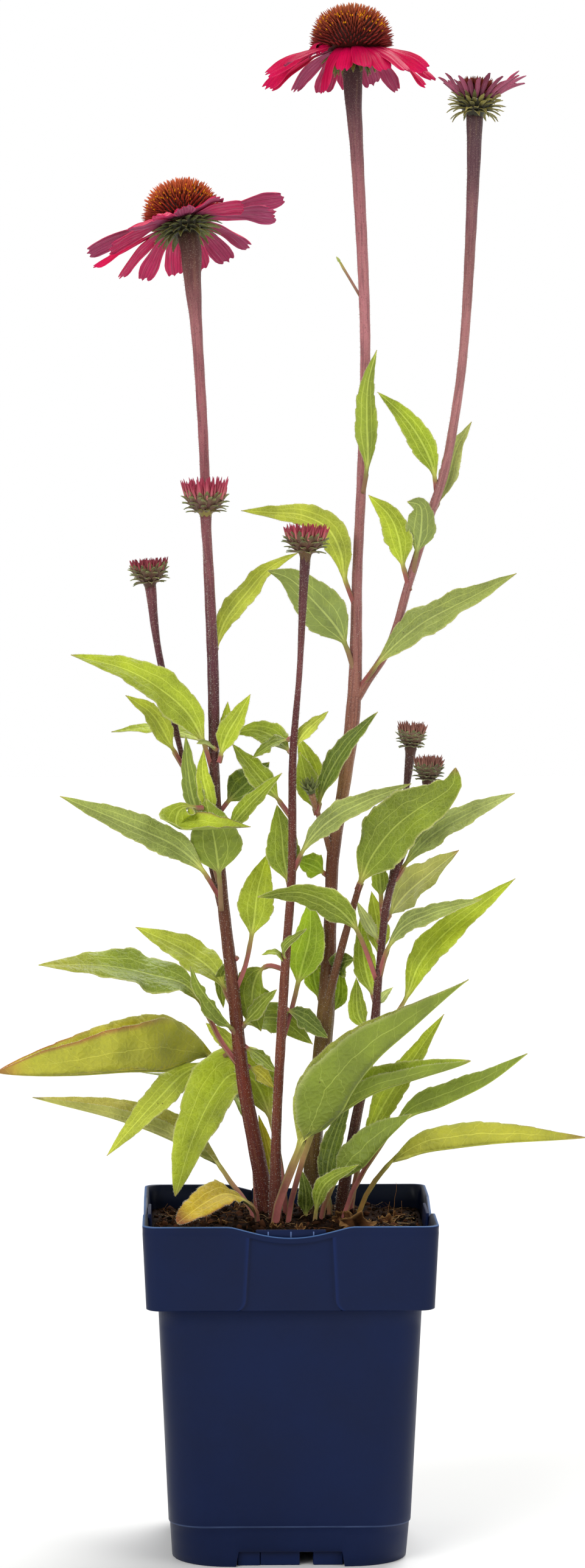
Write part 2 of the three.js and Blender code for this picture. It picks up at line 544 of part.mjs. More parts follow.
// The stem of the left bloom, with a bud stem beside it and a bud branch to the left.
const stemLeft = () =>
  leafyStem(
    [
      [...foot("stem_left"), [-20, 5, 209, 3.2], [-25, 4, 254, 2.9], [-30, 3, 298, 2.6],
        [-33, 2, 347, 2.3], [-34, 1, 399, 2.2], [-36, 0, 441, 2.2], [-38, -1, 500, 2.3],
        [-41, -2, 549, 2.6], [-43, -3, 573, 4], [-43.6, -3.2, 585, 4.7], [-45, -1, 591, 4.7]],
      [[-33, 0, 342, 2], [-31.5, -4, 375, 2.2], [-31.5, -7, 399, 2.2], [-34, -13, 441, 2],
        [-36.5, -17, 459, 2.4], [-37, -17, 466, 2.6]],
      [[-30, 3, 290, 2], [-35, 7, 309, 1.2], [-44, 11, 342, 0.9], [-52, 15, 375, 1.5],
        [-59, 18, 408, 1.6], [-62, 20, 434, 2.5]],
    ],
    [
      leaf([[-33, 1, 404], [-28, 4, 418], [-19, 9, 430], [-8, 14, 442], [5, 17, 449]],
        13, [-0.4, -0.8, 0.5], { stalk: 0.05 }),
      leaf([[-34, 0, 351], [-38, -6, 364], [-45, -11, 377], [-57, -15, 388], [-72, -19, 397],
        [-97, -22, 404]],
        20, [-0.2, -0.75, 0.7]),
      leaf([[-47, 12.5, 352], [-54, 9, 364], [-61, 5, 376], [-73, 1, 385]],
        12, [0.2, -0.8, 0.5], { stalk: 0.22 }),
      leaf([[-34, 4, 362], [-48, 22, 367], [-62, 28, 369], [-80, 33, 367]], 12, [0, -0.5, 0.9]),
      leaf([[-31, -4, 355], [-28, -8, 366], [-22, -11, 377], [-17, -13, 386]],
        11, [-0.3, -0.9, 0.2], { stalk: 0.12 }),
      leaf([[-31, 1, 362], [-28, 3, 372], [-27, 4, 382]], 6, [0, -1, 0.1]),
      leaf([[-32, -4, 361], [-37, -9, 364], [-41, -13, 364]], 6, [0, -0.5, 0.8]),
      leaf([[-31, 1, 300], [-37, -3, 322], [-43, -4, 341], [-45, -4, 354], [-46, -3, 367]],
        11, [0.4, 0.9, 0.1], { stalk: 0.4 }),
      leaf([[-33, -1, 324], [-36, -4, 338], [-38.5, -5, 350], [-38, -5, 361]], 9, [0.3, -0.9, 0.3]),
      leaf([[-30, -1, 288], [-31, -5, 304], [-33, -8, 320], [-37, -8, 339]],
        25, [0, 0.9, 0.3], { stalk: 0.34, fold: 8 }),
      leaf([[-38, -8, 335], [-48, -10, 334], [-50, -15, 327], [-38, -18, 326], [-17, -19, 327]],
        13, [0, -0.4, 0.9], { stalk: 0.08, fold: 24 }),
      leaf([[-29, 0, 318], [-25, -8, 327], [-16, -14, 338], [-3, -18, 351]], 10, [-0.3, -0.8, 0.5]),
      leaf([[-30, 3, 333], [-25, 6, 339], [-17, 11, 346], [-8, 15, 354]], 16, [0.2, -0.9, 0.3]),
      leaf([[-31, 2, 294], [-39, -5, 307], [-50, -9, 317], [-70, -15, 327], [-102, -22, 341]],
        16, [-0.3, -0.75, 0.6]),
      leaf([[-24, 4, 250], [-19, 2, 263], [-15.5, 2, 282], [-13.5, 4, 297], [-9, 7, 313]],
        17, [0.1, -1, 0.1], { stalk: 0.42, fold: 10 }),
      leaf([[-23, 4, 218], [-30, 2, 228], [-37, 0, 242], [-46, -3, 254], [-60, -7, 259],
        [-82, -12, 264], [-112, -17, 265]],
        24, [-0.1, -0.65, 0.8], { stalk: 0.3 }),
      leaf([[-25, 5, 244], [-33, 13, 258], [-47, 20, 268], [-69, 27, 278]], 17, [0.2, -0.8, 0.6]),
      leaf([[-24, 3, 232], [-33, -7, 244], [-40, -12, 254], [-44, -14, 264]],
        13, [-0.4, 0.5, -0.6], { stalk: 0.1, fold: 34 }),
      leaf([[-23, 4, 222], [-29, 6, 229], [-37, 8, 236]], 8, [0, -0.9, 0.4]),
      leaf([[-22, 5, 226], [-26, 16, 222], [-33, 27, 216], [-46, 28, 211], [-60, 16, 199], [-82, 4, 176]],
        14, [0.2, -0.7, 0.7], { stalk: 0.3 }),
      leaf([[-22, 4, 234], [-15, 1, 241], [-10, 0, 247], [-5, 0, 252]], 11, [-0.4, -0.6, 0.7]),
      leaf([[-22, 5, 233], [-16, 17, 236], [-4, 25, 236], [12, 27, 224]], 16, [0.1, -0.9, 0.4]),
      leaf([[-20, 5, 226], [-13, 2, 221], [-5, 0, 214]], 8, [0.2, -0.7, 0.6]),
      leaf([[-19, 6, 217], [-13, 8, 213], [-6, 9, 206]], 9, [0.2, -0.7, 0.6]),
      leaf([[-23, 3, 266], [-27, 10, 262], [-30, 14, 252], [-29, 15, 242]], 8, [0.3, -0.9, 0.2]),
    ],
  );

// The tallest stem, with the half-open bloom's branch and a small side shoot.
const stemTall = () =>
  leafyStem(
    [
      [...foot("stem_tall"), [12, 9, 187, 4.1], [17, 9, 237, 4], [19.5, 9, 287, 2.8],
        [20.5, 9, 311, 2.9], [26, 9, 347, 2.9], [29, 9, 371, 3.3], [30.5, 9, 392, 3],
        [31.5, 10, 440, 2.3], [33.5, 10, 484, 2.2], [35, 10, 544, 2.3], [31, 10, 631, 3],
        [29.5, 10, 652, 3.8], [29, 10, 668, 4.8]],
      [[30, 9, 382, 2.6], [36, 8, 391, 2], [46, 6, 407, 1.9], [55, 4, 437, 1.9],
        [64, 2, 466, 2], [70, 1, 484, 2], [76, 0, 517, 2], [79, -2, 544, 2],
        [82.5, -6, 615, 2.8], [83, -8, 644, 3.7]],
      [[20, 9, 312, 1.6], [16, 4, 325, 1.2], [13, 0, 333, 1.2], [10.5, -6, 341, 1.5]],
      [[17, 8, 240, 2.2], [22, 1, 262, 1.8], [27, -6, 282, 1.6], [32, -14, 301, 1.4]],
    ],
    [
      leaf([[34, 9, 476], [36, 4, 490], [35.5, 2, 508], [36, 1, 525], [40, 3, 540]],
        13, [-0.2, 0.9, 0.1], { stalk: 0.16, fold: 26 }),
      leaf([[67, 2, 476], [65, 0, 488], [58, -3, 502], [50, -5, 512], [40, -6, 521]],
        12, [-0.4, -0.8, 0.5], { stalk: 0.12 }),
      leaf([[65, 2, 467], [72, 7, 480], [76, 8, 495], [83, 8, 508]],
        11, [-0.5, -0.7, 0.3], { stalk: 0.14, fold: 24 }),
      leaf([[55, 4, 432], [52, 1, 443], [50, -2, 455], [46, -4, 465], [36, -6, 475]],
        14, [-0.4, -0.9, 0.3], { stalk: 0.24 }),
      leaf([[56, 3, 428], [58, -2, 444], [59.5, -6, 459], [59, -9, 470], [53, -14, 472]],
        14, [0, 1, 0.2], { stalk: 0.26, fold: 12 }),
      leaf([[31, 9, 386], [44, 1, 403], [60, -5, 417], [80, -9, 428], [102, -13, 440]],
        19, [-0.2, -0.75, 0.7], { stalk: 0.18 }),
      leaf([[30, 8, 396], [24, 4, 412], [12, 1, 427], [0, 0, 438], [-9, -1, 441]],
        21, [-0.5, 0.7, 0.6], { stalk: 0.2, fold: 10 }),
      leaf([[30, 9, 426], [26, 6, 437], [24, 4, 449], [18, 3, 460], [6, 2, 466], [-6, 1, 467],
        [-21, 0, 468]],
        14, [-0.3, -0.85, 0.5], { stalk: 0.14 }),
      leaf([[13, -1, 332], [17, -4, 346], [26, -8, 362], [40, -11, 378]],
        12, [-0.5, -0.7, 0.4], { stalk: 0.1, fold: 24 }),
      leaf([[13, 0, 331], [9, 2, 344], [5.5, 4, 359]], 13, [0.3, -0.9, 0.2], { stalk: 0.12 }),
      leaf([[13, 1, 334], [11, 7, 350], [5, 10, 366]], 12, [0, -1, 0.1]),
      leaf([[31, -13, 298], [37, -20, 313], [47, -27, 327], [60, -31, 338], [71, -32, 344],
        [77, -30, 351]],
        29, [-0.35, -0.85, 0.4], { stalk: 0.06, fold: 8, stalkWidth: 2.6 }),
      leaf([[18, 9, 238], [23, 14, 246], [24, 16, 262]], 8.5, [0, -1, 0.1]),
      leaf([[20, 9, 257], [25, 2, 264], [30, -2, 266]], 12, [0, -0.9, 0.4]),
      leaf([[18, 9, 303], [12, 8, 307], [4, 7, 310]], 13, [0.1, -0.9, 0.4]),
      leaf([[16, 10, 243], [12, 13, 256], [13, 13, 272]], 10, [0.2, -1, 0.1]),
      leaf([[33, 10, 564], [27, 9, 574], [22, 8, 582]], 3, [0, -1, 0.1], { stalkWidth: 1.2 }),
    ],
  );

// The slim stem of the middle bud.
const stemMiddle = () =>
  leafyStem(
    [
      [...foot("stem_middle"), [-5.5, -8, 187, 2.2], [-3, -8, 237, 2.2], [-1, -9, 270, 2],
        [1.5, -10, 305, 1.9], [2, -10, 358, 1.7], [5, -11, 397, 1.3], [6.5, -12, 430, 1.9],
        [7.5, -12, 448, 2.4]],
    ],
    [
      leaf([[1, -10, 331], [-5, -6, 339], [-12, -3, 347], [-25, 1, 363]],
        13, [0.2, -0.8, 0.6], { stalk: 0.24 }),
      leaf([[2, -9, 359], [-8, 4, 367], [-16, 9, 369], [-25, 11, 367]],
        13, [0, -0.85, 0.5], { stalk: 0.1 }),
      leaf([[1, -9, 366], [-7, -5, 363], [-16, -3, 357]], 11, [0.1, -0.5, 0.9], { stalk: 0.1 }),
      leaf([[2, -10, 361], [8, -9, 369], [18, -6, 378]], 9, [-0.5, -0.7, 0.6], { stalk: 0.1 }),
      leaf([[2, -10, 306], [8, -13, 318], [18, -17, 329], [34, -18, 338], [55, -15, 346]],
        13, [-0.3, -0.8, 0.6], { stalk: 0.14 }),
      leaf([[0.5, -9, 299], [-2, -5, 312], [-3, -4, 324], [-5, -4, 336]],
        16, [0, -1, 0.1], { stalk: 0.08, fold: 8 }),
      leaf([[-3, -8, 228], [2, -4, 245], [6, -1, 261], [10, 1, 277], [10, 2, 293]],
        17, [-0.1, -1, 0.1], { stalk: 0.42, fold: 8 }),
      leaf([[-1, -9, 264], [-6, -12, 270], [-12, -13, 269]], 5, [0, -0.5, 0.9], { stalkWidth: 1.2 }),
      leaf([[-1, -9, 265], [-2, -14, 272], [8, -17, 281]], 6, [-0.4, -0.6, 0.6], { stalkWidth: 1.2 }),
      leaf([[-2, -8, 262], [-9, -2, 263], [-14, 6, 257], [-16, 8.5, 246], [-12, 8.5, 232]],
        18, [-0.2, -0.8, 0.4], { stalk: 0.3 }),
      leaf([[-1, -8, 244], [8, -3, 238], [18, -1, 230]], 13, [0.2, -0.7, 0.7], { stalk: 0.06 }),
    ],
  );

// The dark stem on the right, with its two pale buds.
const stemRight = () =>
  leafyStem(
    [
      [...foot("stem_right"), [30.5, -6, 193, 2.3], [38, -8, 230, 2.2], [41, -8, 262, 1.7],
        [45, -8, 295, 1.7], [53, -8, 318, 1.6], [61.8, -8, 338, 1.7], [62.5, -8, 343, 2.4]],
      [[46, -9, 299, 1.4], [48.5, -3, 315, 1.2], [53, 5, 338, 1.2], [55.5, 7, 358, 2.3]],
    ],
    [
      leaf([[48, -8, 302], [54, -9, 311], [63, -11, 321], [80, -15, 332], [101, -20, 342]],
        15, [-0.4, -0.7, 0.6], { stalk: 0.12 }),
      leaf([[44, -8, 284], [52, 2, 294], [63, 8, 303], [78, 13, 314]],
        19, [-0.3, 0.9, 0.4], { stalk: 0.08 }),
      leaf([[41, -8, 258], [44, -13, 270], [51, -17, 281], [64, -21, 288], [86, -26, 295]],
        13, [-0.3, -0.7, 0.7], { stalk: 0.24 }),
      leaf([[38, -8, 221], [46, -6, 236], [54, -5, 250], [59, -6, 263], [69, -7, 276],
        [83, -9, 288], [102, -11, 303]],
        16, [-0.5, -0.8, 0.3], { stalk: 0.28 }),
      leaf([[40, -8, 256], [35, -12, 270], [29, -17, 283], [20, -21, 292], [5, -23, 298],
        [-14, -24, 296]],
        16, [0.1, -0.75, -0.6], { stalk: 0.34 }),
      leaf([[38, -8, 232], [32, -1, 240], [31, 3, 257]], 9, [0, -1, 0.1]),
      leaf([[39, -7, 247], [35, 4, 262], [33, 8, 284]], 11, [0, -1, 0.2], { stalk: 0.1 }),
      leaf([[42, -8, 272], [36, -3, 282], [31, 1, 292]], 6, [0, -0.8, 0.6], { stalkWidth: 1.4 }),
      leaf([[43, -8, 278], [42, -2, 294], [41, 0, 312]], 8.5, [0, -1, 0.1], { stalk: 0.5 }),
      leaf([[41, -7, 262], [41, 3, 278], [38, 6, 296]], 11, [0, -1, 0.1], { stalk: 0.2 }),
      leaf([[39, -7, 244], [43, -9, 250], [47, -11, 254]], 4, [0, -1, 0.2], { stalkWidth: 1.2 }),
    ],
  );

// ---- leaves that rise from the soil on their own stalks -------------------
const rootedLeaf = (name, way, wide, face, options) =>
  leaf([...foot(name), ...way], wide, face, { rooted: true, stalkWidth: ROOTS[name][2] * 1.4, ...options });

const ROOTED_LEAVES = {
  leaf_broad_front: [[[-2, -22, 165], [5, -26, 184], [10, -29, 200], [18, -34, 216], [32, -39, 231],
    [52, -42, 244], [79, -45, 261]],
    28, [0.1, -0.8, 0.5], { stalk: 0.36, fold: 10 }],
  leaf_long_front: [[[5, -16, 172], [11, -18, 190], [19, -21, 203], [34, -25, 213], [56, -28, 219],
    [81, -30, 223]],
    17, [0, -0.6, 0.8], { stalk: 0.42 }],
  leaf_right_rising: [[[31, -12, 166], [42, -10, 183], [55, -9, 199], [69, -12, 206], [88, -16, 214],
    [107, -20, 225]],
    14, [-0.2, -0.65, 0.7], { stalk: 0.5 }],
  leaf_right_level: [[[40, -7, 167], [51, -8, 178], [64, -10, 185], [90, -14, 188.5], [134, -20, 187]],
    17, [0, -0.55, 0.8], { stalk: 0.4 }],
  leaf_right_small: [[[23, -14, 170], [31, -17, 181], [41, -20, 190], [55, -22, 198]],
    16, [-0.3, -0.7, 0.6], { stalk: 0.46 }],
  leaf_right_back: [[[34, 11, 176], [43, 11, 196], [52, 10, 211], [61, 8, 225], [71, 6, 240]],
    19, [-0.5, -0.8, 0.2], { stalk: 0.42 }],
  leaf_centre_dark: [[[18, 3, 170], [22, 4, 186], [29, 4, 204]],
    11, [-0.4, -0.9, 0.1], { stalk: 0.4 }],
  leaf_left_broad: [[[-16, 24, 185], [-23, 34, 208], [-36, 36, 218], [-50, 25, 225], [-70, 5, 227],
    [-98, -10, 223], [-131, -18, 217]],
    33, [0, -0.7, 0.7], { stalk: 0.48, fold: 14 }],
  leaf_left_drooping: [[[-4, 6, 176], [-9, 14, 196], [-16, 19, 209], [-25, 19, 211], [-34, 15, 201],
    [-43, 7, 183], [-51, 0, 158]],
    28, [-0.2, -0.8, 0.5], { stalk: 0.45, fold: 10 }],
  leaf_left_low: [[[-25, 2, 163], [-36, 14, 176], [-51, 22, 187], [-76, 23, 195], [-116, 18, 201]],
    17, [0, -0.6, 0.8], { stalk: 0.34 }],
  leaf_left_back: [[[-12, 28, 180], [-28, 41, 202], [-48, 45, 206], [-68, 48, 209]],
    15, [0, 0.1, 1], { stalk: 0.45 }],
  leaf_dying: [[[-17, -21, 157], [-29, -42, 165], [-38, -55, 163], [-50, -67, 156]],
    17, [0.1, -0.7, 0.6], { stalk: 0.42, fold: 14 }],
  leaf_base_upright: [[[8, -8, 160], [6, -9, 171]],
    8, [0, -1, 0.2], { stalk: 0.5 }],
  leaf_base_right: [[[16, -22, 166], [31, -27, 176]],
    9, [-0.3, -0.8, 0.5], { stalk: 0.45 }],
  leaf_base_yellow: [[[-8, 14, 172], [-13, 15, 193]],
    8, [0, -1, 0.1], { stalk: 0.5 }],
};
const YELLOW_LEAVES = ["leaf_dying", "leaf_right_level", "leaf_base_yellow"];

// ---- the object -----------------------------------------------------------
const plant = new THREE.Group();

function addMesh(name, solid, material, parent = plant) {
  const mesh = new THREE.Mesh(geometryOf(solid), material);
  mesh.name = name;
  parent.add(mesh);
}

// A head's frame: its foot at a point, its axis along a direction.
function headFrame(at, axis) {
  const frame = new THREE.Group();
  frame.position.set(...at);
  frame.quaternion.setFromUnitVectors(V(0, 0, 1), point(axis).normalize());
  plant.add(frame);
  return frame;
}

addMesh("pot", makePot(), MATERIALS.pot);
addMesh("soil", makeSoil(), MATERIALS.soil);
addMesh("stem_left", stemLeft(), MATERIALS.leaf);
addMesh("stem_tall", stemTall(), MATERIALS.leaf);
addMesh("stem_middle", stemMiddle(), MATERIALS.leaf);
addMesh("stem_right", stemRight(), MATERIALS.leaf);
for (const [name, [way, wide, face, options]] of Object.entries(ROOTED_LEAVES)) {
  const material = YELLOW_LEAVES.includes(name) ? MATERIALS.yellowLeaf : MATERIALS.leaf;
  addMesh(name, rootedLeaf(name, way, wide, face, options), material);
}

const BLOOMS = {
  bloom_left: {
    at: [-45.3, -0.6, 591.6],
    axis: [-0.23, 0.22, 0.95],
    cup: LEFT_CUP,
    petals: LEFT_PETALS,
    cone: LEFT_CONE,
  },
  bloom_tall: {
    at: [29, 10, 668.4],
    axis: [-0.02, 0.02, 1],
    cup: TALL_CUP,
    petals: TALL_PETALS,
    cone: TALL_CONE,
  },
};
for (const [name, { at, axis, cup, petals, cone }] of Object.entries(BLOOMS)) {
  const frame = headFrame(at, axis);
  addMesh(name + "_bracts", thorned(cup, BLOOM_PLACES), MATERIALS.bract, frame);
  addMesh(name + "_petals", petalRing(10.5, 4.95, petals), MATERIALS.petal, frame);
  addMesh(name + "_cone", spikyDome(cone), MATERIALS.cone, frame);
}

const halfOpen = headFrame([83.2, -8, 644.4], [0.06, 0, 1]);
addMesh("bloom_half_open_bracts", thorned(HALF_OPEN_CUP, HALF_OPEN_PLACES), MATERIALS.bract, halfOpen);
addMesh("bloom_half_open_rays", petalRing(8.2, 6.35, HALF_OPEN_RAYS), MATERIALS.floret, halfOpen);
addMesh("bloom_half_open_disc", spikyDome(HALF_OPEN_DISC), MATERIALS.disc, halfOpen);

// Each bud: its foot, the lean of its axis to the right, radius, length and colour of its florets.
const { floret, paleFloret } = MATERIALS;
const BUDS = {
  bud_upper_left: { at: [-37, -17, 466.4], lean: -0.02, radius: 10, length: 5.2, material: floret },
  bud_middle: { at: [7.6, -12, 448.4], lean: 0.03, radius: 9.6, length: 4.4, material: floret },
  bud_far_left: { at: [-62.1, 20, 434.4], lean: -0.08, radius: 9, length: 3.4, material: floret },
  bud_right_upper: { at: [55.6, 7, 358.4], lean: 0.06, radius: 8, length: 4, material: paleFloret },
  bud_right_lower: { at: [62.7, -8, 343.4], lean: 0.05, radius: 8.2, length: 4, material: paleFloret },
};
for (const [name, { at, lean, radius, length, material }] of Object.entries(BUDS)) {
  const frame = headFrame(at, [lean, 0, 1]);
  addMesh(name + "_bracts", thorned(budCup(radius), BUD_PLACES), MATERIALS.bract, frame);
  addMesh(name + "_florets", spikyDome(budFlorets(radius, length)), material, frame);
}
const TINY_BUD = { rim: 2.4, foot: 0, dome: 5, rows: 3, places: 12, length: 2, lean: 0.8 };
addMesh("bud_tiny", spikyDome(TINY_BUD), MATERIALS.bract, headFrame([10.2, -6.8, 341.8], [-0.15, -0.3, 1]));

export default plant;
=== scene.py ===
# %% [markdown]
# # A potted purple coneflower
# The object is a young garden perennial: four leafy stems with two open blooms, a half-open bloom
# and six buds, in a square nursery pot full of soil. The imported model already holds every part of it
# at its true size, but with few faces. Each step below takes one of those parts and makes it again
# on the same centre lines and rings, finely enough to carry veins, hairs, teeth and spikes.
# Every leaf and petal is a short row of points with a width, so the fine piece lies where the plain
# solid lies.

# %% Load the frame
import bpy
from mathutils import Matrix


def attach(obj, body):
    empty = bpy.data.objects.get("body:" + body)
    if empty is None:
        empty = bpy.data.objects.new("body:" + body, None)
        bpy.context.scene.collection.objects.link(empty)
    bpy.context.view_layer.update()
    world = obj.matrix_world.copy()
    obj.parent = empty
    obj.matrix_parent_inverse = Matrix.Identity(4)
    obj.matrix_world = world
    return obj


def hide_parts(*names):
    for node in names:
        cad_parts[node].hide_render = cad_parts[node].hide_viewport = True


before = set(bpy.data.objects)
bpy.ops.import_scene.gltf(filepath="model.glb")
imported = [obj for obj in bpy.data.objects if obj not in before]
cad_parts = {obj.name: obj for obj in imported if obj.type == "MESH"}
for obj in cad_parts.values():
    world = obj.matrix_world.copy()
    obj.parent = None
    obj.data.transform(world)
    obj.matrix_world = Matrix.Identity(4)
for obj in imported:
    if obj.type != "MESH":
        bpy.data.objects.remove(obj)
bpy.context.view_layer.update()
print("solids in the frame:", len(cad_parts))

# %% [markdown]
# ## Measures and colours
# The lists of points are in millimetres, as on a drawing, and become metres when a mesh is made.
# Colours are written as on a paint chart. Blender mixes light in linear values, so each code is
# turned into those once, here. Chance comes from two seeded draws, one for the plant and one for the
# down on its leaves, so that the plant grows the same way each time.

# %% Units, colours and chance
import math
from functools import partial

import bpy
import numpy as np
from mathutils import Vector

MM = 0.001
FULL_TURN = 2 * np.pi
chance = np.random.default_rng(11)
down = np.random.default_rng(17)


def colour(code):
    """The linear red, green and blue of a chart colour such as "7c9a35"."""
    share = np.array([int(code[i:i + 2], 16) for i in (0, 2, 4)]) / 255
    return np.where(share <= 0.04045, share / 12.92, ((share + 0.055) / 1.055) ** 2.4)


def blend(a, b, share):
    """The colour part of the way from a to b; share may be a row of numbers."""
    share = np.asarray(share, float)[..., None]
    return np.asarray(a) * (1 - share) + np.asarray(b) * share


def step(value, low, high):
    """0 below low, 1 above high, and a soft rise between."""
    t = np.clip((np.asarray(value, float) - low) / (high - low), 0, 1)
    return t * t * (3 - 2 * t)


print("one leaf green in linear values:", colour("7c9a35").round(3))

# %% [markdown]
# ## Meshes from rows of rings
# Stems, leaves, petals, spikes and the pot itself are all skins over a row of rings, so one small
# collector serves them all. It keeps three marks for every point, and the finishes read them later:
# the tint, the place on a blade (across from -1 to 1, along in millimetres, and 1 on the underside),
# and its extent (half width and length in millimetres, and how dry the tissue is).

# %% A collector of points, faces and marks
class Skin:
    """Gathers points, faces and marks, and turns them into one smooth mesh."""

    def __init__(self):
        self.points, self.faces, self.count = [], [], 0
        self.marks = {"tint": [], "blade": [], "extent": []}

    def add(self, points, faces, tint, blade=(0, 0, 0), extent=(1, 1, 0)):
        points = np.asarray(points, float).reshape(-1, 3)
        self.points.append(points)
        self.faces.extend(np.asarray(block) + self.count for block in faces)
        for name, value in zip(self.marks, (tint, blade, extent)):
            value = np.asarray(value, float)
            value = value.reshape(-1, 3) if value.ndim > 1 else np.tile(value, (len(points), 1))
            self.marks[name].append(value)
        self.count += len(points)

    def mesh(self, name):
        points = np.vstack(self.points) * MM
        corners = np.concatenate([block.ravel() for block in self.faces])
        sizes = np.concatenate([np.full(len(block), block.shape[1]) for block in self.faces])
        made = bpy.data.meshes.new(name)
        made.vertices.add(len(points))
        made.vertices.foreach_set("co", points.ravel())
        made.loops.add(len(corners))
        made.loops.foreach_set("vertex_index", corners.astype(np.int32))
        made.polygons.add(len(sizes))
        made.polygons.foreach_set("loop_start", (np.cumsum(sizes) - sizes).astype(np.int32))
        made.update(calc_edges=True)
        made.polygons.foreach_set("use_smooth", np.full(len(sizes), True))
        for mark_name, parts in self.marks.items():
            layer = made.attributes.new(mark_name, "FLOAT_VECTOR", "POINT")
            layer.data.foreach_set("vector", np.vstack(parts).astype(np.float32).ravel())
        made.validate()
        return made


def add_piece(name, skin, material, nodes=()):
    """Makes a skin into an object that rides with the plant and stands for its solids."""
    piece = bpy.data.objects.new(name, skin.mesh(name))
    bpy.context.scene.collection.objects.link(piece)
    piece.data.materials.append(material)
    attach(piece, "root")
    if nodes:
        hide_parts(*nodes)
    print(f"{name}: {len(piece.data.polygons)} faces")


print("marks of a skin:", ", ".join(Skin().marks))

# %% Faces of tubes and of thin sheets
def ring_faces(rings, places):
    """Four-sided faces that join each ring of points to the next one."""
    start = np.arange(rings - 1)[:, None] * places
    here = start + np.arange(places)
    beside = start + (np.arange(places) + 1) % places
    return np.stack([here, beside, beside + places, here + places], -1).reshape(-1, 4)


def tube_faces(rings, places):
    """A closed tube: its wall, and a flat fan of triangles over each end."""
    fan = np.array([[0, i + 2, i + 1] for i in range(places - 2)])
    return [ring_faces(rings, places), fan, fan[:, ::-1] + (rings - 1) * places]


def sheet_faces(rows, columns):
    """A closed sheet, whose rings run over its top and back along its underside."""
    left = np.arange(columns - 1)
    right = 2 * columns - 1 - left
    cap = np.stack([left, right, right - 1, left + 1], -1)
    return [ring_faces(rows, 2 * columns), cap, cap[:, ::-1] + (rows - 1) * 2 * columns]


def circle(side, front, sides):
    """Directions evenly round each place of a line, from the line's own side to its front."""
    turn = FULL_TURN * np.arange(sides) / sides
    return np.cos(turn)[None, :, None] * side[:, None] + np.sin(turn)[None, :, None] * front[:, None]


print("a ring of 4 joined to the next:", len(ring_faces(2, 4)), "faces")

# %% [markdown]
# ## Rounded lines
# A stem or a leaf's midrib is given by a few points that it passes through. A rounded line through
# them that never overshoots between close points is the centripetal Catmull-Rom curve. It is
# measured along its length, so that "40 % of the way up the leaf" means just that.

# %% A rounded line and places on it
def unit(vectors):
    """The same directions, each one long."""
    vectors = np.asarray(vectors, float)
    return vectors / np.maximum(np.linalg.norm(vectors, axis=-1, keepdims=True), 1e-9)


def run_along(line):
    """How far each point lies from the first one, along the line."""
    return np.r_[0, np.cumsum(np.linalg.norm(np.diff(line, axis=0), axis=1))]


def read_off(at, known, table):
    """The rows of a table at places between its known ones."""
    return np.stack([np.interp(at, known, column) for column in table.T], -1)


def rounded_line(way):
    """Close points on the rounded line through a way, with any further columns, and their distances."""
    way = np.array(way, float)
    way = np.vstack([2 * way[0] - way[1], way, 2 * way[-1] - way[-2]])
    pieces = []
    for a, b, c, d in zip(way, way[1:], way[2:], way[3:]):
        before, between, after = (max(np.linalg.norm((q - p)[:3]), 1e-6) ** 0.5
                                  for p, q in ((a, b), (b, c), (c, d)))
        leave = ((b - a) / before - (c - a) / (before + between) + (c - b) / between) * between
        arrive = ((c - b) / between - (d - b) / (between + after) + (d - c) / after) * between
        t = np.linspace(0, 1, 24, endpoint=False)[:, None]
        pieces.append((2 * t**3 - 3 * t**2 + 1) * b + (t**3 - 2 * t**2 + t) * leave
                      + (3 * t**2 - 2 * t**3) * c + (t**3 - t**2) * arrive)
    line = np.vstack([*pieces, way[-2:-1]])
    return line, run_along(line[:, :3])


def places_on(way, shares):
    """Points, directions and further columns at given shares of a way's length, and that length."""
    line, distance = rounded_line(way)
    at = np.asarray(shares) * distance[-1]
    found = read_off(at, distance, line)
    heading = unit(read_off(at, distance, np.gradient(line[:, :3], distance, axis=0)))
    return found[:, :3], heading, found[:, 3:], distance[-1]


print("length of a bent way:", round(places_on([(0, 0, 0), (0, 5, 10), (0, 0, 20)], [0])[3], 2), "mm")

# %% [markdown]
# ## Finishes: parts that several materials share
# Leaf, bract and petal tissue all show the same things at different strengths: a colour that drifts
# over the plant, small specks, and dry brown places. So that is one node group, with the drift and
# the dryness as sockets. Veins are a second group for leaves and bracts. Both only put out colours,
# masks and heights; the shader itself stays in each material.

# %% Short ways to place nodes
def place(tree, kind, inputs=(), **settings):
    """A node of a kind, its settings made and its inputs joined or filled in."""
    made = tree.nodes.new("ShaderNode" + kind)
    for key, value in settings.items():
        setattr(made, key, value)
    for key, value in inputs.items() if isinstance(inputs, dict) else enumerate(inputs):
        if isinstance(value, bpy.types.NodeSocket):
            tree.links.new(value, made.inputs[key])
        elif value is not None:
            made.inputs[key].default_value = value
    return made


def reckon(operation, tree, *values):
    """The result of one step of arithmetic."""
    return place(tree, "Math", values, operation=operation).outputs[0]


times, plus, minus, share_of, larger, size_of = (
    partial(reckon, operation)
    for operation in ("MULTIPLY", "ADD", "SUBTRACT", "DIVIDE", "MAXIMUM", "ABSOLUTE"))


def fade(tree, value, low, high, start=0.0, end=1.0):
    """A soft change from start to end while value goes from low to high."""
    inputs = {"Value": value, "From Min": low, "From Max": high, "To Min": start, "To Max": end}
    return place(tree, "MapRange", inputs, interpolation_type="SMOOTHSTEP").outputs[0]


def mixed(tree, share, first, second):
    """The mix of two colours."""
    return place(tree, "Mix", {0: share, 6: first, 7: second}, data_type="RGBA").outputs[2]


def scaled(tree, tone, by):
    """A colour made lighter or darker."""
    return place(tree, "VectorMath", {0: tone, "Scale": by}, operation="SCALE").outputs[0]


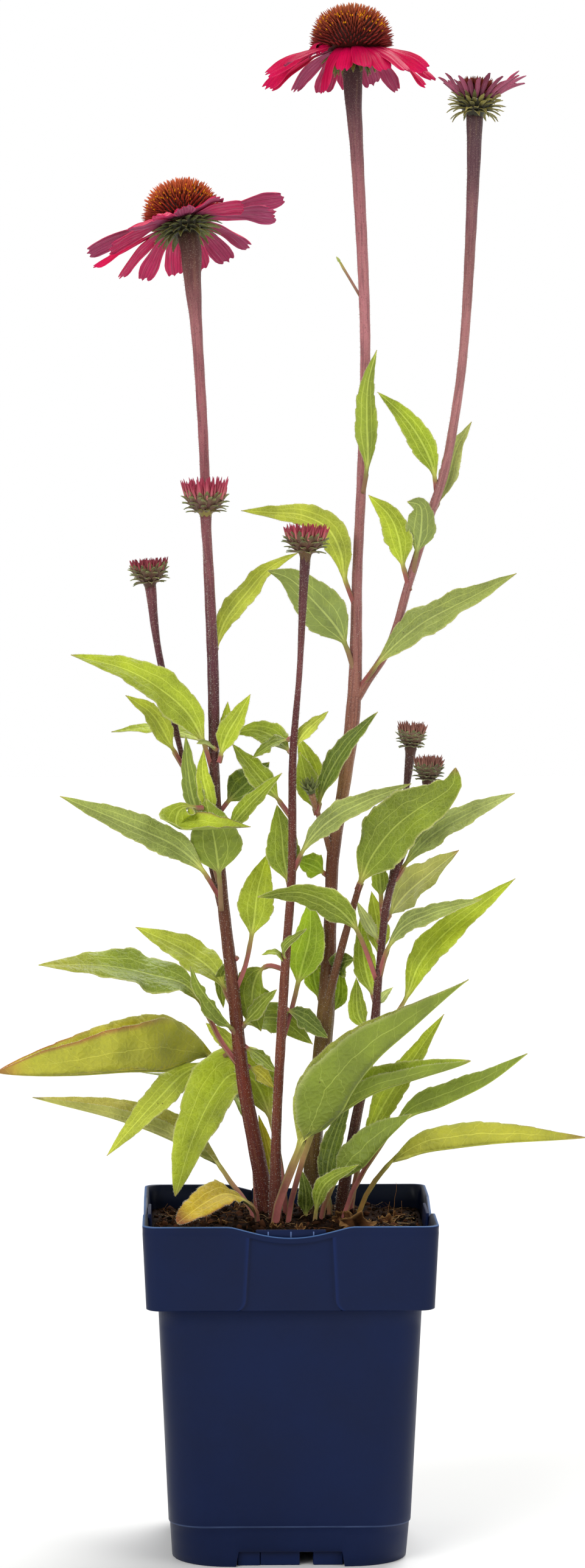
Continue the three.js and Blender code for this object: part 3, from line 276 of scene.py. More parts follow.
def own_place(tree):
    """The place on the piece itself, in metres."""
    return place(tree, "TexCoord").outputs["Object"]


def noise(tree, at, scale, detail=2.0):
    """Cloudy noise between 0 and 1."""
    return place(tree, "TexNoise", {"Vector": at, "Scale": scale, "Detail": detail}).outputs["Fac"]


def dots(tree, at, scale, **settings):
    """How far it is to the nearest of many scattered dots, or to the border between their fields."""
    return place(tree, "TexVoronoi", {"Vector": at, "Scale": scale}, **settings).outputs["Distance"]


def paint(code):
    """A chart colour as a socket takes it."""
    return (*colour(code), 1.0)


def new_group(name, inputs, outputs):
    """An empty node group with its sockets: inputs are (name, kind, value), outputs (name, kind)."""
    group = bpy.data.node_groups.new(name, "ShaderNodeTree")
    for label, kind, value in inputs:
        socket = group.interface.new_socket(label, in_out="INPUT", socket_type="NodeSocket" + kind)
        if value is not None:
            socket.default_value = value
    for label, kind in outputs:
        group.interface.new_socket(label, in_out="OUTPUT", socket_type="NodeSocket" + kind)
    return group, group.nodes.new("NodeGroupInput").outputs, group.nodes.new("NodeGroupOutput").inputs


print("a mid green, in linear values:", colour("7a8a38").round(3))

# %% Node group: living tissue
tissue, given, gives = new_group(
    "Living tissue",
    [("Tint", "Color", paint("7a8a38")), ("Drift", "Float", 0.2), ("Dryness", "Float", 0.0),
     ("Speck Size", "Float", 900.0)],
    [("Color", "Color"), ("Roughness", "Float"), ("Height", "Float")],
)
spot = own_place(tissue)
cloud = noise(tissue, spot, 70.0, 4.0)
grain = noise(tissue, spot, given["Speck Size"], 3.0)
drift = times(tissue, minus(tissue, cloud, 0.5), given["Drift"])
light = plus(tissue, 1.0, times(tissue, drift, 3.0))
light = plus(tissue, light, times(tissue, minus(tissue, grain, 0.5), 0.35))
shaded = scaled(tissue, given["Tint"], light)
dried = fade(tissue, plus(tissue, given["Dryness"], minus(tissue, cloud, 0.5)), 0.35, 0.6)
brown = mixed(tissue, grain, paint("5a3a22"), paint("9a7443"))
tissue.links.new(mixed(tissue, dried, shaded, brown), gives["Color"])
tissue.links.new(fade(tissue, grain, 0.2, 0.8, 0.42, 0.6), gives["Roughness"])
tissue.links.new(grain, gives["Height"])
print("group:", tissue.name)

# %% Node group: leaf veins
# Distances are in millimetres on the blade itself, so a vein is as wide on a small leaf as on a big
# one. A side nerve runs beside each margin, cross veins slant up from the midrib, and a fine net
# fills the fields between them.
veins, given, gives = new_group(
    "Leaf veins",
    [("Blade", "Vector", None), ("Extent", "Vector", None), ("Net Size", "Float", 0.8)],
    [("Nerves", "Float"), ("Net", "Float"), ("Relief", "Float"), ("Underside", "Float")],
)
across, along, under = place(veins, "SeparateXYZ", [given["Blade"]]).outputs
half, length, _ = place(veins, "SeparateXYZ", [given["Extent"]]).outputs
off_rib = size_of(veins, across)
off_rib_mm = times(veins, off_rib, half)
share = share_of(veins, along, larger(veins, length, 1.0))
rib_width = fade(veins, share, 0, 1, 0.62, 0.2)
nerves = minus(veins, 1.0, fade(veins, share_of(veins, off_rib_mm, rib_width), 0.55, 1.1))
wander = minus(veins, noise(veins, own_place(veins), 160.0), 0.5)

SIDE_NERVE = 0.44
gap = size_of(veins, minus(veins, plus(veins, off_rib, times(veins, wander, 0.12)), SIDE_NERVE))
side_nerve = fade(veins, times(veins, gap, half), 0.08, 0.3, 1, 0)
side_nerve = times(veins, side_nerve, fade(veins, share, 0.6, 0.9, 0.8, 0))
nerves = larger(veins, nerves, side_nerve)

slant = minus(veins, along, times(veins, off_rib_mm, 1.1))
slant = plus(veins, slant, times(veins, wander, 9.0))
spacing = larger(veins, share_of(veins, length, 9.0), 4.0)
phase = minus(veins, reckon("FRACT", veins, share_of(veins, slant, spacing)), 0.5)
cross = fade(veins, times(veins, size_of(veins, phase), spacing), 0.06, 0.26, 0.5, 0)
on_blade = fade(veins, along, -1.0, 4.0)
nerves = times(veins, larger(veins, nerves, cross), on_blade)
print("side nerves at", SIDE_NERVE, "of the way to the margin")

# %% The net of small veins, and the relief
flat = place(veins, "CombineXYZ", [times(veins, across, half), along, 0.0]).outputs[0]
bent = place(veins, "TexNoise", {"Vector": flat, "Scale": 0.5, "Detail": 1.0}).outputs["Color"]
flat = place(veins, "VectorMath", {0: bent, 1: (1.6, 1.6, 0.0), 2: flat}, operation="MULTIPLY_ADD").outputs[0]
borders = dict(feature="DISTANCE_TO_EDGE", voronoi_dimensions="2D")
cells = dots(veins, flat, given["Net Size"], **borders)
fields = dots(veins, flat, times(veins, given["Net Size"], 0.36), **borders)
net = larger(veins, fade(veins, cells, 0.0, 0.2, 0.22, 0), fade(veins, fields, 0.0, 0.06, 0.5, 0))
net = times(veins, net, on_blade)
puffed = times(veins, fade(veins, fields, 0.0, 0.4, 1, 0), on_blade)
relief = plus(veins, nerves, plus(veins, net, puffed))
up_or_down = minus(veins, times(veins, under, 2.0), 1.0)
for label, value in zip(("Nerves", "Net", "Relief", "Underside"),
                        (nerves, net, times(veins, relief, up_or_down), under)):
    veins.links.new(value, gives[label])
print("group:", veins.name)

# %% [markdown]
# ## The plant's own materials
# A leaf lets light through, which is why the ones near the edge of the plant glow yellow-green. A
# little scattering below the surface gives that without a second shader. The top is satin and the
# veins are sunk in it; the underside is greyer, with standing veins.

# %% Helpers for a material
def new_material(name):
    """A material with its surface shader's inputs, ready for links."""
    made = bpy.data.materials.new(name)
    made.use_nodes = True
    tree = made.node_tree
    return made, tree, tree.nodes["Principled BSDF"].inputs


def mark(tree, name):
    """One of the three marks that a mesh carries."""
    return place(tree, "Attribute", attribute_name=name).outputs["Vector"]


def mark_parts(tree, name):
    """A mark's three numbers."""
    return place(tree, "SeparateXYZ", [mark(tree, name)]).outputs


def finish(tree, surface, values):
    """Joins what changes over a surface to the shader, and sets the rest on the shader's own sockets."""
    for name, value in values.items():
        if isinstance(value, bpy.types.NodeSocket):
            tree.links.new(value, surface[name])
        else:
            surface[name].default_value = value


def lean_on(tree, surface, height, strength, distance=0.0004):
    """A bump under the surface."""
    bump = place(tree, "Bump", {"Height": height, "Strength": strength, "Distance": distance})
    tree.links.new(bump.outputs[0], surface["Normal"])


def tinted_tissue(tree, drift, speck):
    """The tissue group, with the mesh's own tint."""
    given = {"Tint": mark(tree, "tint"), "Drift": drift, "Speck Size": speck}
    return place(tree, "Group", given, node_tree=tissue)


print("sockets of the tissue group:", len(tissue.interface.items_tree))

# %% Materials for leaves and bracts
def leaf_material(name, vein_code, vein_share, under_code, glow):
    """Green tissue with veins, which the underside shows less than the top."""
    made, tree, surface = new_material(name)
    body = tinted_tissue(tree, 0.42, 900.0)
    tree.links.new(mark_parts(tree, "extent")[2], body.inputs["Dryness"])
    given = {"Blade": mark(tree, "blade"), "Extent": mark(tree, "extent")}
    nerve, net, relief, under = place(tree, "Group", given, node_tree=veins).outputs
    greyer = mixed(tree, times(tree, under, 0.3), body.outputs["Color"], paint(under_code))
    net = times(tree, net, fade(tree, under, 0, 1, 1.0, 0.3))
    seen = times(tree, larger(tree, nerve, net), vein_share)
    vein_paint = mixed(tree, 0.3, scaled(tree, greyer, 1.75), paint(vein_code))
    veined = mixed(tree, seen, greyer, vein_paint)
    spot = own_place(tree)
    fleck = fade(tree, dots(tree, spot, 190.0), 0.05, 0.11, 0.7, 0)
    flecked = times(tree, fleck, fade(tree, noise(tree, spot, 45.0), 0.61, 0.66))
    finish(tree, surface, {
        "Base Color": mixed(tree, flecked, veined, paint("4a3216")), "Roughness": body.outputs["Roughness"],
        "Subsurface Weight": glow, "Subsurface Radius": (0.9, 1.0, 0.25), "Subsurface Scale": 0.0016,
        "Specular IOR Level": 0.3, "Sheen Weight": 0.08})
    height = plus(tree, relief, times(tree, body.outputs["Height"], 0.5))
    lean_on(tree, surface, height, 0.4, 0.0005)
    return made


leaf_green = leaf_material("leaf_green", "d8dc80", 0.85, "8c9a48", 0.2)
bract_green = leaf_material("bract_green", "8a9450", 0.2, "4a5430", 0.04)
print("materials:", leaf_green.name, "and", bract_green.name)

# %% Materials that take their colour from the tint alone
def tinted_material(name, drift, speck, roughness, bump, glow=0.0, gloss=0.3):
    """Plain tissue or soil: spikes, hairs, crumbs and fibres."""
    made, tree, surface = new_material(name)
    body = tinted_tissue(tree, drift, speck)
    uneven = fade(tree, body.outputs["Height"], 0.2, 0.8, roughness - 0.1, roughness + 0.1)
    finish(tree, surface, {
        "Base Color": body.outputs["Color"], "Roughness": uneven, "Subsurface Weight": glow,
        "Subsurface Scale": 0.001, "Specular IOR Level": gloss})
    lean_on(tree, surface, body.outputs["Height"], bump)
    return made


spike_tissue = tinted_material("spike_tissue", 0.18, 1500.0, 0.6, 0.3, gloss=0.12)
hair_tissue = tinted_material("hair_tissue", 0.05, 500.0, 0.5, 0.1, glow=0.3)
print("materials:", spike_tissue.name, "and", hair_tissue.name)

# %% Material for stems
# A stem is finely ribbed along its length. Its colour comes in streaks and dark dots, with small pale
# warts where the bristles stand.
stem_skin, tree, surface = new_material("stem_skin")
body = tinted_tissue(tree, 0.22, 1100.0)
around, upward, _ = mark_parts(tree, "blade")


def on_stem(round_by, up_by, start=0.0):
    """Places on the stem's skin, drawn out along it."""
    at = [times(tree, around, round_by), times(tree, upward, up_by), start]
    return place(tree, "CombineXYZ", at).outputs[0]


streak = noise(tree, on_stem(9.0, 0.05), 1.0, 4.0)
dark_dots = fade(tree, dots(tree, on_stem(9.0, 0.8), 1), 0.1, 0.3, 0.45, 0)
warts = fade(tree, dots(tree, on_stem(14.0, 2.2, 3.0), 1), 0.08, 0.26, 0.4, 0)
shade = mixed(tree, fade(tree, streak, 0.34, 0.46, 0.1, 0), body.outputs["Color"], paint("a98a60"))
shade = mixed(tree, fade(tree, streak, 0.48, 0.64, 0.0, 0.36), shade, paint("3c1620"))
shade = mixed(tree, dark_dots, shade, paint("431722"))
finish(tree, surface, {
    "Base Color": mixed(tree, warts, shade, paint("cdb2a0")),
    "Roughness": fade(tree, streak, 0.3, 0.7, 0.38, 0.55), "Sheen Weight": 0.05, "Specular IOR Level": 0.25})
lean_on(tree, surface, plus(tree, streak, body.outputs["Height"]), 0.45)
print("material:", stem_skin.name)

# %% Material for petals
# A petal has some seven fine ribs from foot to tip. Its top is velvety, with little gloss; its back
# is dusky, with darker stripes along the ribs and silvery fibres between them.
petal_velvet, tree, surface = new_material("petal_velvet")
body = tinted_tissue(tree, 0.2, 1300.0)
across, along, under = mark_parts(tree, "blade")
across_mm = times(tree, across, mark_parts(tree, "extent")[0])
fibre_at = place(tree, "CombineXYZ", [times(tree, across_mm, 3.2), times(tree, along, 0.1), 0.0])
fibre = noise(tree, fibre_at.outputs[0], 1.0, 4.0)
rib_wave = reckon("COSINE", tree, times(tree, across, 22.0))
ribbing = plus(tree, times(tree, rib_wave, 0.3), fibre)
stripe = times(tree, fade(tree, ribbing, 0.5, 1), fade(tree, under, 0, 1, 0.35, 0.7))
striped = mixed(tree, stripe, body.outputs["Color"], paint("6a1538"))
silver = times(tree, fade(tree, fibre, 0.52, 0.72, 0.0, 0.38), under)
finish(tree, surface, {
    "Base Color": mixed(tree, silver, striped, paint("c99bab")),
    "Roughness": fade(tree, fibre, 0.3, 0.7, 0.45, 0.6), "Subsurface Weight": 0.15,
    "Subsurface Radius": (1.0, 0.25, 0.4), "Subsurface Scale": 0.0014, "Specular IOR Level": 0.15})
lean_on(tree, surface, ribbing, 0.5)
print("material:", petal_velvet.name)

# %% [markdown]
# ## Blades: one way to make leaves, petals and bracts
# Each is a thin sheet on a centre line, with a section that folds, arches or rolls. A modelled sheet
# with a solidify modifier would come close, but a leaf's rib is several times as thick as its margin,
# so top and underside are laid out together here, as one closed skin.

# %% The blade maker
def blade(skin, line, out, side, shares, spread, lift, thick, across, tint, dry=0.0, start=0.0):
    """A closed thin sheet.

    line, out and side: close points of the centre, and the directions of its face and its edge.
    shares: the place of each row and column along the line. spread, lift and thick: how far each
    point lies along side and along out, and the thickness there. across: -1 to 1 from margin to
    margin. start: the share where the blade proper begins.
    """
    rows, columns = shares.shape
    reach = np.linspace(0, 1, len(line))
    centre = read_off(shares, reach, line)
    face, edge = (unit(read_off(shares, reach, table)) for table in (out, side))
    section = np.stack([spread, lift], -1)
    slope = unit(np.gradient(section, axis=1))
    top = centre + (section[..., None] * np.stack([edge, face], -2)).sum(-2)
    below = top - (face * slope[..., :1] - edge * slope[..., 1:]) * thick[..., None]
    length = run_along(line)[-1]
    ones = np.ones_like(shares)
    marks = np.stack([across * ones, (shares - start) * length, 0 * ones], -1)
    under = marks * [1, 1, 0] + [0, 0, 1]
    half = np.linalg.norm(np.diff(section, axis=1), axis=-1).sum(1)[:, None] / 2
    extent = np.stack([half * ones, ones * length * (1 - start), dry * ones], -1)
    tint_top, tint_below = (np.broadcast_to(t, (rows, columns, 3)) for t in tint)
    both = ((top, below), (tint_top, tint_below), (marks, under), (extent, extent))
    rings, *told = (np.concatenate([above, beneath[:, ::-1]], 1) for above, beneath in both)
    skin.add(rings, sheet_faces(rows, columns), *told)
    return top


print("a blade of 3 rows and 3 columns has", sum(map(len, sheet_faces(3, 3))), "faces")

# %% [markdown]
# ## Leaves
# A coneflower leaf is lance-shaped on a channelled stalk, with a few coarse teeth that point to the
# tip, a fold along the midrib and a margin that waves a little. Rows of points are laid so that one
# falls on each tooth's point and one in each notch; an even grid would blur the teeth away.

# %% The outline of a leaf
WIDEST = 0.36
TOOTH_EVERY, TOOTH_DEPTH = 8, 0.07
TEETH_FROM, TEETH_OVER = 0.1, 0.74
ONE_TOOTH = (0, 1), (0.3, 0.55), (0.6, 0.15), (0.85, 0)


def lance(s, widest=WIDEST, point=1.0):
    """Half width of a lance-shaped blade, 1 at its widest, s from 0 to 1."""
    s = np.clip(s, 0, 1)
    beyond = np.clip((s - widest) / (1 - widest), 0, 1)
    return np.sin(np.pi / 2 * np.minimum(s / widest, 1)) ** 1.15 * (1 - beyond ** 1.6) ** point


def leaf_rows(length):
    """Rows along a blade, and how far each is cut in by the notches between the teeth."""
    teeth = int(np.clip(round(length / TOOTH_EVERY), 3, 9))
    marks = [(0, 0), (0.03, 0), (0.07, 0)]
    for tooth in range(teeth):
        low, high = (TEETH_FROM + TEETH_OVER * (tooth + k) / teeth for k in (0, 1))
        marks += [(low + (high - low) * t, cut) for t, cut in ONE_TOOTH]
    return np.array(marks + [(0.85, 0.6), (0.9, 0), (0.94, 0), (0.97, 0), (0.99, 0), (1, 0)])


print("rows of a leaf of 80 mm:", len(leaf_rows(80)))

# %% Fine spikes, and the hairs on a leaf's margins
def bristles(skin, roots, ways, lengths, wide, tint, *marks):
    """Thin three-sided spikes at the roots, pointing along the ways."""
    side = unit(np.cross(ways, [0.3, 0.5, 0.8]))
    foot = roots[:, None] + wide * circle(side, np.cross(ways, side), 3)
    point = (roots + ways * lengths[:, None])[:, None]
    start = 4 * np.arange(len(roots))[:, None, None]
    faces = (start + np.array([[0, 1, 3], [1, 2, 3], [2, 0, 3]])).reshape(-1, 3)
    skin.add(np.concatenate([foot, point], 1), [faces], tint, *marks)


MARGIN_HAIRS = 4  # in a millimetre
FAR_FROM_RIBS = (0.5, 0, 0), (30, 1, 0)  # marks of a place that shows no veins


def margin_hairs(skin, sheet):
    """Short pale hairs along both margins of a leaf, pointing outward and a little to its tip."""
    for edge, inner in ((sheet[:, 0], sheet[:, 2]), (sheet[:, -1], sheet[:, -3])):
        run = run_along(edge)
        count = int(run[-1] * MARGIN_HAIRS)
        at = down.uniform(0, run[-1], count)
        tables = (edge, inner, np.gradient(edge, axis=0))
        roots, within, ahead = (read_off(at, run, table) for table in tables)
        way = unit(unit(roots - within) + 0.5 * unit(ahead) + down.normal(0, 0.25, (count, 3)))
        bristles(skin, roots, way, down.uniform(0.3, 0.8, count), 0.045, colour("dcd8b4"), *FAR_FROM_RIBS)


print("hairs on 50 mm of margin:", 50 * MARGIN_HAIRS)

# %% The section of a leaf
LEAF_THICK = 0.3
STALK_ROWS = 6


def leaf_section(s, across, half, phase, fold, cup, wave):
    """How high a leaf's face stands over its centre line: folded, cupped at the margins and waved."""
    sideways = np.abs(across)
    waves = sum(np.sin(FULL_TURN * s * k + p) for k, p in zip((2.3, 3.7), phase))[:, None]
    bend = math.sin(math.radians(fold)) * sideways * (1 - 0.45 * sideways ** 2.5) + cup * across ** 2
    ruffle = 0.5 * np.sin(FULL_TURN * s * 7.3 + phase[0])[:, None] * sideways ** 3
    pucker = np.sin(FULL_TURN * (s[:, None] * 5.1 + 0.6 * sideways) + phase[1])
    pucker = 0.35 * pucker * np.sin(np.pi * sideways) ** 2
    lift = half * (bend + wave * (waves * across ** 2 + ruffle + pucker))
    return lift, waves, wave * (ruffle + 1.5 * pucker)


def shut_like_a_book(spread, lift, across, half, shutting, up, near, waves, ripple):
    """Turns an open leaf's section into two halves that stand over the midrib, the nearer one lower."""
    page = np.sign(across * up) * np.abs(across)
    height = np.where(page < 0, near * (1 + 0.03 * waves), 1.0)
    folded = up * half * (2 * np.abs(page) * height - 1)
    leaning = half * (ripple - 0.4 * page)
    return spread + (folded - spread) * shutting, lift + (leaning - lift) * shutting


print("a leaf is", LEAF_THICK, "mm thick at its margin")

# %% The colours of a leaf
# The looks are partly the leaves' own colours and partly painted light. The darkest green is painted shade,
# for leaves in the shadow of others. The pale, bright and vivid greens are painted lighter, for leaves lit
# from behind; the pale one also stands for young leaves. The yellow, dying, straw, dusky and silver looks are
# old leaves and undersides.
LEAF_LOOKS = {
    "pale": "a9b43a", "bright": "99a826", "fresh": "84951c", "vivid": "88a416", "mid": "71811e",
    "deep": "506216", "dusky": "86924c", "yellow": "b8b02c", "dying": "b89e1e", "straw": "bcb562",
    "silver": "a6b270",
}
MARGIN, STALK_HEAD, STALK_FOOT = "c4c27c", "9e9a48", "9c5854"
UNDERSIDE = [0.84, 0.87, 0.95]


def leaf_tint(look, s, share, across, flat, stalk, stem, edge, tip, tip_from):
    """Colours along and across a leaf's top: its stalk, its halves in painted light and shade, its margin and
    its tip.
    """
    every = np.ones((len(s), len(across)))
    sideways = np.abs(across)
    base = colour(LEAF_LOOKS[look]) * chance.uniform(0.92, 1.08)
    top = blend(base, base * [1.15, 1.1, 0.85], step(s, 0.15, 0.9)[:, None] * 0.6) * every[..., None]
    greener = step(share, 0.55 * stalk, 1.15 * stalk)[:, None] * every
    stalk_tint = blend(colour(stem), colour(STALK_HEAD), greener)
    top = blend(stalk_tint, top, step(s, -0.02, 0.14)[:, None] * flat * every)
    # Painted light: one half of the blade, chosen by chance, is painted lighter and the other darker, as if
    # the fold took the light on one side.
    painted_light = 0.11 * (down.integers(0, 2) * 2 - 1) * step(across, -0.06, 0.06) * 2
    top = top * (1 + (painted_light - painted_light.mean()) * flat)[..., None]
    top = blend(top, colour(MARGIN), step(sideways, 0.9, 1.0) * flat * 0.6)
    if edge:
        one_side = step(sideways, 0.84, 1.0) * step(s, 0.2, 0.5)[:, None] * (across < 0)
        top = blend(top, colour(edge), one_side)
        top = blend(top, colour(edge), step(sideways, 0.93, 1.0) * step(s, 0.5, 0.8)[:, None])
    return blend(top, colour(tip), step(s, tip_from, 1.0)[:, None] * every)


print("looks of leaves:", ", ".join(LEAF_LOOKS))

# %% A whole leaf
def leaf(skin, look, wide, stalk, face, way, fold=16, stalk_width=2.0, wave=0.1, tip="9a8a40", tip_from=0.95,
         edge=None, dry=0.0, widest=WIDEST, point=1.0, cup=0.0, stem=STALK_FOOT, near=None):
    """A leaf on its stalk. face: where its top looks; stalk: the share of its length that is stalk.

    near is given for a leaf that is shut like a book, with its midrib as the lower edge: how high its
    nearer half stands as a share of the farther one.
    """
    fine, heading, _, length = places_on(way, np.linspace(0, 1, 160))
    out = unit(np.array(face, float) - heading * (heading @ np.array(face, float))[:, None])
    side = np.cross(heading, out)
    turn = np.radians(chance.normal(0, 5)) * np.linspace(0, 1, 160)[:, None] ** 2
    out, side = out * np.cos(turn) + side * np.sin(turn), side * np.cos(turn) - out * np.sin(turn)

    rows = leaf_rows(length * (1 - stalk))
    s, cut = np.vstack([np.zeros((STALK_ROWS, 2)), rows]).T
    share = np.r_[np.linspace(0, stalk, STALK_ROWS + 1)[:-1], stalk + (1 - stalk) * rows[:, 0]]
    flat = (np.arange(len(s)) >= STALK_ROWS)[:, None] * 1.0
    across = np.sin(np.linspace(-1, 1, 19 if near else 15 if wide > 14 else 11) * np.pi / 2)

    depth = TOOTH_DEPTH * np.clip(14 / wide, 0.6, 1.2) * chance.uniform(0.6, 1.3, (len(s), 2))
    notches = np.abs(across) ** 6 * np.where(across < 0, depth[:, :1], depth[:, 1:]) * cut[:, None]
    outline = wide / 2 * lance(s, widest, point)[:, None] * (1 - notches)
    petiole = stalk_width / 2 * (1 - 0.25 * np.minimum(share / max(stalk, 0.05), 1))
    petiole = petiole * np.clip(1 - s / 0.3, 0, 1) * (1 + 0.4 * step(share, 0.7 * stalk, stalk))
    half = np.maximum((outline ** 2.5 + petiole[:, None] ** 2.5) ** 0.4, 0.12)

    spread = across * half
    lift, waves, ripple = leaf_section(s, across, half, chance.uniform(0, 6.3, 2), fold, cup, wave)
    lift = lift * flat
    if near:
        up = 1.0 if side[80:, 2].mean() > 0 else -1.0
        shutting = step(s, 0.0, 0.1)[:, None] * flat
        spread, lift = shut_like_a_book(spread, lift, across, half, shutting, up, near, waves, ripple)
    channel = 0.25 * stalk_width * (1 - flat) * across ** 2
    rib = 1.1 * stalk_width / 2 * (1 - s)[:, None] * np.exp(-((across * half) / 0.6) ** 2)
    stalk_thick = (1 - flat) * stalk_width * 0.75 * np.sqrt(1 - 0.9 * across ** 2)
    thick = LEAF_THICK + rib * flat + stalk_thick
    lift = lift + channel + thick * 0.3

    top = leaf_tint(look, s, share, across, flat, stalk, stem, edge, tip, tip_from)
    dryness = dry + 0.45 * step(s, 0.97, 1.0)[:, None] * np.ones_like(half)
    shares = np.broadcast_to(share[:, None], half.shape)
    tints = (top, top * UNDERSIDE)
    sheet = blade(skin, fine, out, side, shares, spread, lift, thick, across, tints, dryness, stalk)
    margin_hairs(skin, sheet[np.searchsorted(s, 0.05):])


print("a leaf of 60 mm has", STALK_ROWS + len(leaf_rows(60)), "rows of points")

# %% [markdown]
# ## Stems
# The stems are tapered tubes with shallow ribs. Near the soil they are brown and green, higher up
# dusky rose, and just below each head they widen. Their colour is a short row of heights and paints,
# mixed between; the streaks and dots come from the material.

# %% The ways of the stems
SOIL_HEIGHT = 143.0
HOLE_FOOT, HOLE_HEAD = 127.35, 151  # each stalk rises straight from its hole until it clears the soil
STEMS = {}
STEMS["stem_left"] = [
    [(-10, 6, HOLE_FOOT, 3.9), (-10, 6, HOLE_HEAD, 3.9), (-20, 5, 209, 3.1), (-25, 4, 254, 2.9),
     (-30, 3, 298, 2.6), (-33, 2, 347, 2.3), (-34.4, 1, 399, 2.0), (-36, 0, 441, 2.0), (-38, -1, 500, 2.2),
     (-41, -2, 549, 2.6), (-43, -3, 573, 4), (-43.6, -3.2, 585, 4.7), (-45, -1, 591, 4.7)],
    [(-33.4, 0, 342, 1.9), (-32.8, -4, 375, 1.9), (-33.2, -7, 399, 1.9), (-35.2, -13, 441, 1.8),
     (-36.8, -17, 459, 2.3), (-37, -17, 466, 2.6)],
    [(-30, 3, 290, 2), (-35, 7, 309, 1.2), (-44, 11, 342, 0.9), (-52, 15, 375, 1.5), (-59, 18, 408, 1.6),
     (-62, 20, 434, 2.5)],
]
STEMS["stem_tall"] = [
    [(11, 9, HOLE_FOOT, 4.2), (11, 9, HOLE_HEAD, 4.2), (12, 9, 187, 4.1), (17, 9, 237, 4),
     (19.5, 9, 287, 2.8), (20.5, 9, 311, 2.9), (26, 9, 347, 2.9), (29, 9, 371, 3.3), (30.5, 9, 392, 3),
     (31.5, 10, 440, 2.3), (33.5, 10, 484, 2.2), (35, 10, 544, 2.3), (31, 10, 631, 3), (29.5, 10, 652, 3.8),
     (29, 10, 668, 4.8)],
    [(30, 9, 382, 2.6), (36, 8, 391, 2), (46, 6, 407, 1.9), (55, 4, 437, 1.9), (64, 2, 466, 2),
     (70, 1, 484, 2), (76, 0, 517, 2), (79, -2, 544, 2), (82.5, -6, 615, 2.8), (83, -8, 644, 3.7)],
    [(20, 9, 312, 1.6), (16, 4, 325, 1.2), (13, 0, 333, 1.2), (10.5, -6, 341, 1.5)],
    [(17, 8, 240, 2.2), (22, 1, 262, 1.8), (27, -6, 282, 1.6), (32, -14, 301, 1.4)],
]
STEMS["stem_middle"] = [
    [(-6, -8, HOLE_FOOT, 3), (-6, -8, HOLE_HEAD, 3), (-5.5, -8, 187, 2.2), (-3, -8, 237, 2.2),
     (-1, -9, 270, 2), (1.5, -10, 305, 1.9), (2, -10, 358, 1.7), (5, -11, 397, 1.3), (6.5, -12, 430, 1.9),
     (7.5, -12, 448, 2.4)],
]
STEMS["stem_right"] = [
    [(24, -2, HOLE_FOOT, 2.9), (24, -2, HOLE_HEAD, 2.9), (30.5, -6, 193, 2.3), (38, -8, 230, 2.2),
     (41, -8, 262, 1.7), (45, -8, 295, 1.7), (53, -8, 318, 1.6), (61.8, -8, 338, 1.7), (62.5, -8, 343, 2.4)],
    [(46, -9, 299, 1.4), (48.5, -3, 315, 1.2), (53, 5, 338, 1.2), (55.5, 7, 358, 2.3)],
]
# The darkest paints at the top of the left and tall stems, just below their blooms, are painted shade from
# the hanging petals.
STEM_PAINTS = {}
STEM_PAINTS["stem_left"] = [
    (150, "4a1c12"), (209, "6c2a16"), (254, "683622"), (298, "5c3420"), (347, "4e261e"), (399, "552a34"),
    (441, "784448"), (500, "96565c"), (549, "985e62"), (578, "5c3430"), (591, "3a2c20"),
]
STEM_PAINTS["stem_tall"] = [
    (150, "403010"), (187, "624a18"), (237, "705628"), (262, "683e24"), (311, "6e3e2c"), (344, "a0744e"),
    (371, "905e4c"), (440, "9c6664"), (544, "b27276"), (600, "a6686c"), (631, "7e4e54"), (650, "5c3a40"),
    (668, "36221f"),
]
STEM_PAINTS["stem_middle"] = [
    (150, "54251a"), (187, "6e3320"), (237, "703a26"), (305, "6a3626"), (358, "501d1e"), (397, "6e3a3c"),
    (448, "4a2a2c"),
]
STEM_PAINTS["stem_right"] = [
    (150, "3c1d10"), (193, "4a2414"), (262, "562a26"), (318, "46201f"), (343, "4e2a2a"), (358, "48302c"),
]
# The branch to the half-open bloom darkens well below its head.
BRANCH_PAINTS = {
    ("stem_tall", 1): [(380, "905e4c"), (440, "9c6664"), (544, "ac7272"), (575, "92605f"), (600, "7a4f54"),
                       (625, "5e3f46"), (644, "473034")],
}
print("stems:", ", ".join(STEMS))

# %% Tubes
def tube(skin, way, paints, sides=14, every=2.2, ribs=0.05):
    """A ribbed tube on a way whose fourth column is its radius, coloured by height."""
    length = places_on(way, [0.0])[3]
    count = max(int(length / every), 6)
    line, heading, further, _ = places_on(way, np.linspace(0, 1, count))
    radius = further[:, 0]
    side = unit(np.array([1.0, 0, 0]) - heading * heading[:, :1])
    front = np.cross(heading, side)
    turn = FULL_TURN * np.arange(sides) / sides
    swell = 1 + ribs * np.cos(turn * (sides // 2))[None, :] + 0.02 * np.sin(np.arange(count) * 0.9)[:, None]
    rings = line[:, None] + (radius[:, None] * swell)[..., None] * circle(side, front, sides)
    heights, codes = zip(*paints)
    tint = read_off(line[:, 2], heights, np.array([colour(code) for code in codes]))
    around = np.tile(np.abs(turn / np.pi - 1), count)
    upward = np.repeat(np.linspace(0, length, count), sides)
    marks = np.stack([around, upward, 0 * upward], -1)
    skin.add(rings, tube_faces(count, sides), np.repeat(tint, sides, 0), marks)
    return line, radius, side, front


stalks = {}
for name, ways in STEMS.items():
    skin = Skin()
    paints = STEM_PAINTS[name]
    stalks[name] = [tube(skin, way, BRANCH_PAINTS.get((name, i), paints)) for i, way in enumerate(ways)]
    add_piece(name + "_stalks", skin, stem_skin, [name])

# %% [markdown]
# ## Leaves on the stems
# Every row is one leaf: its look, its width, the share of its length that is stalk, where its top
# looks, the points of its midrib from the stem to the tip, and any habits of its own.

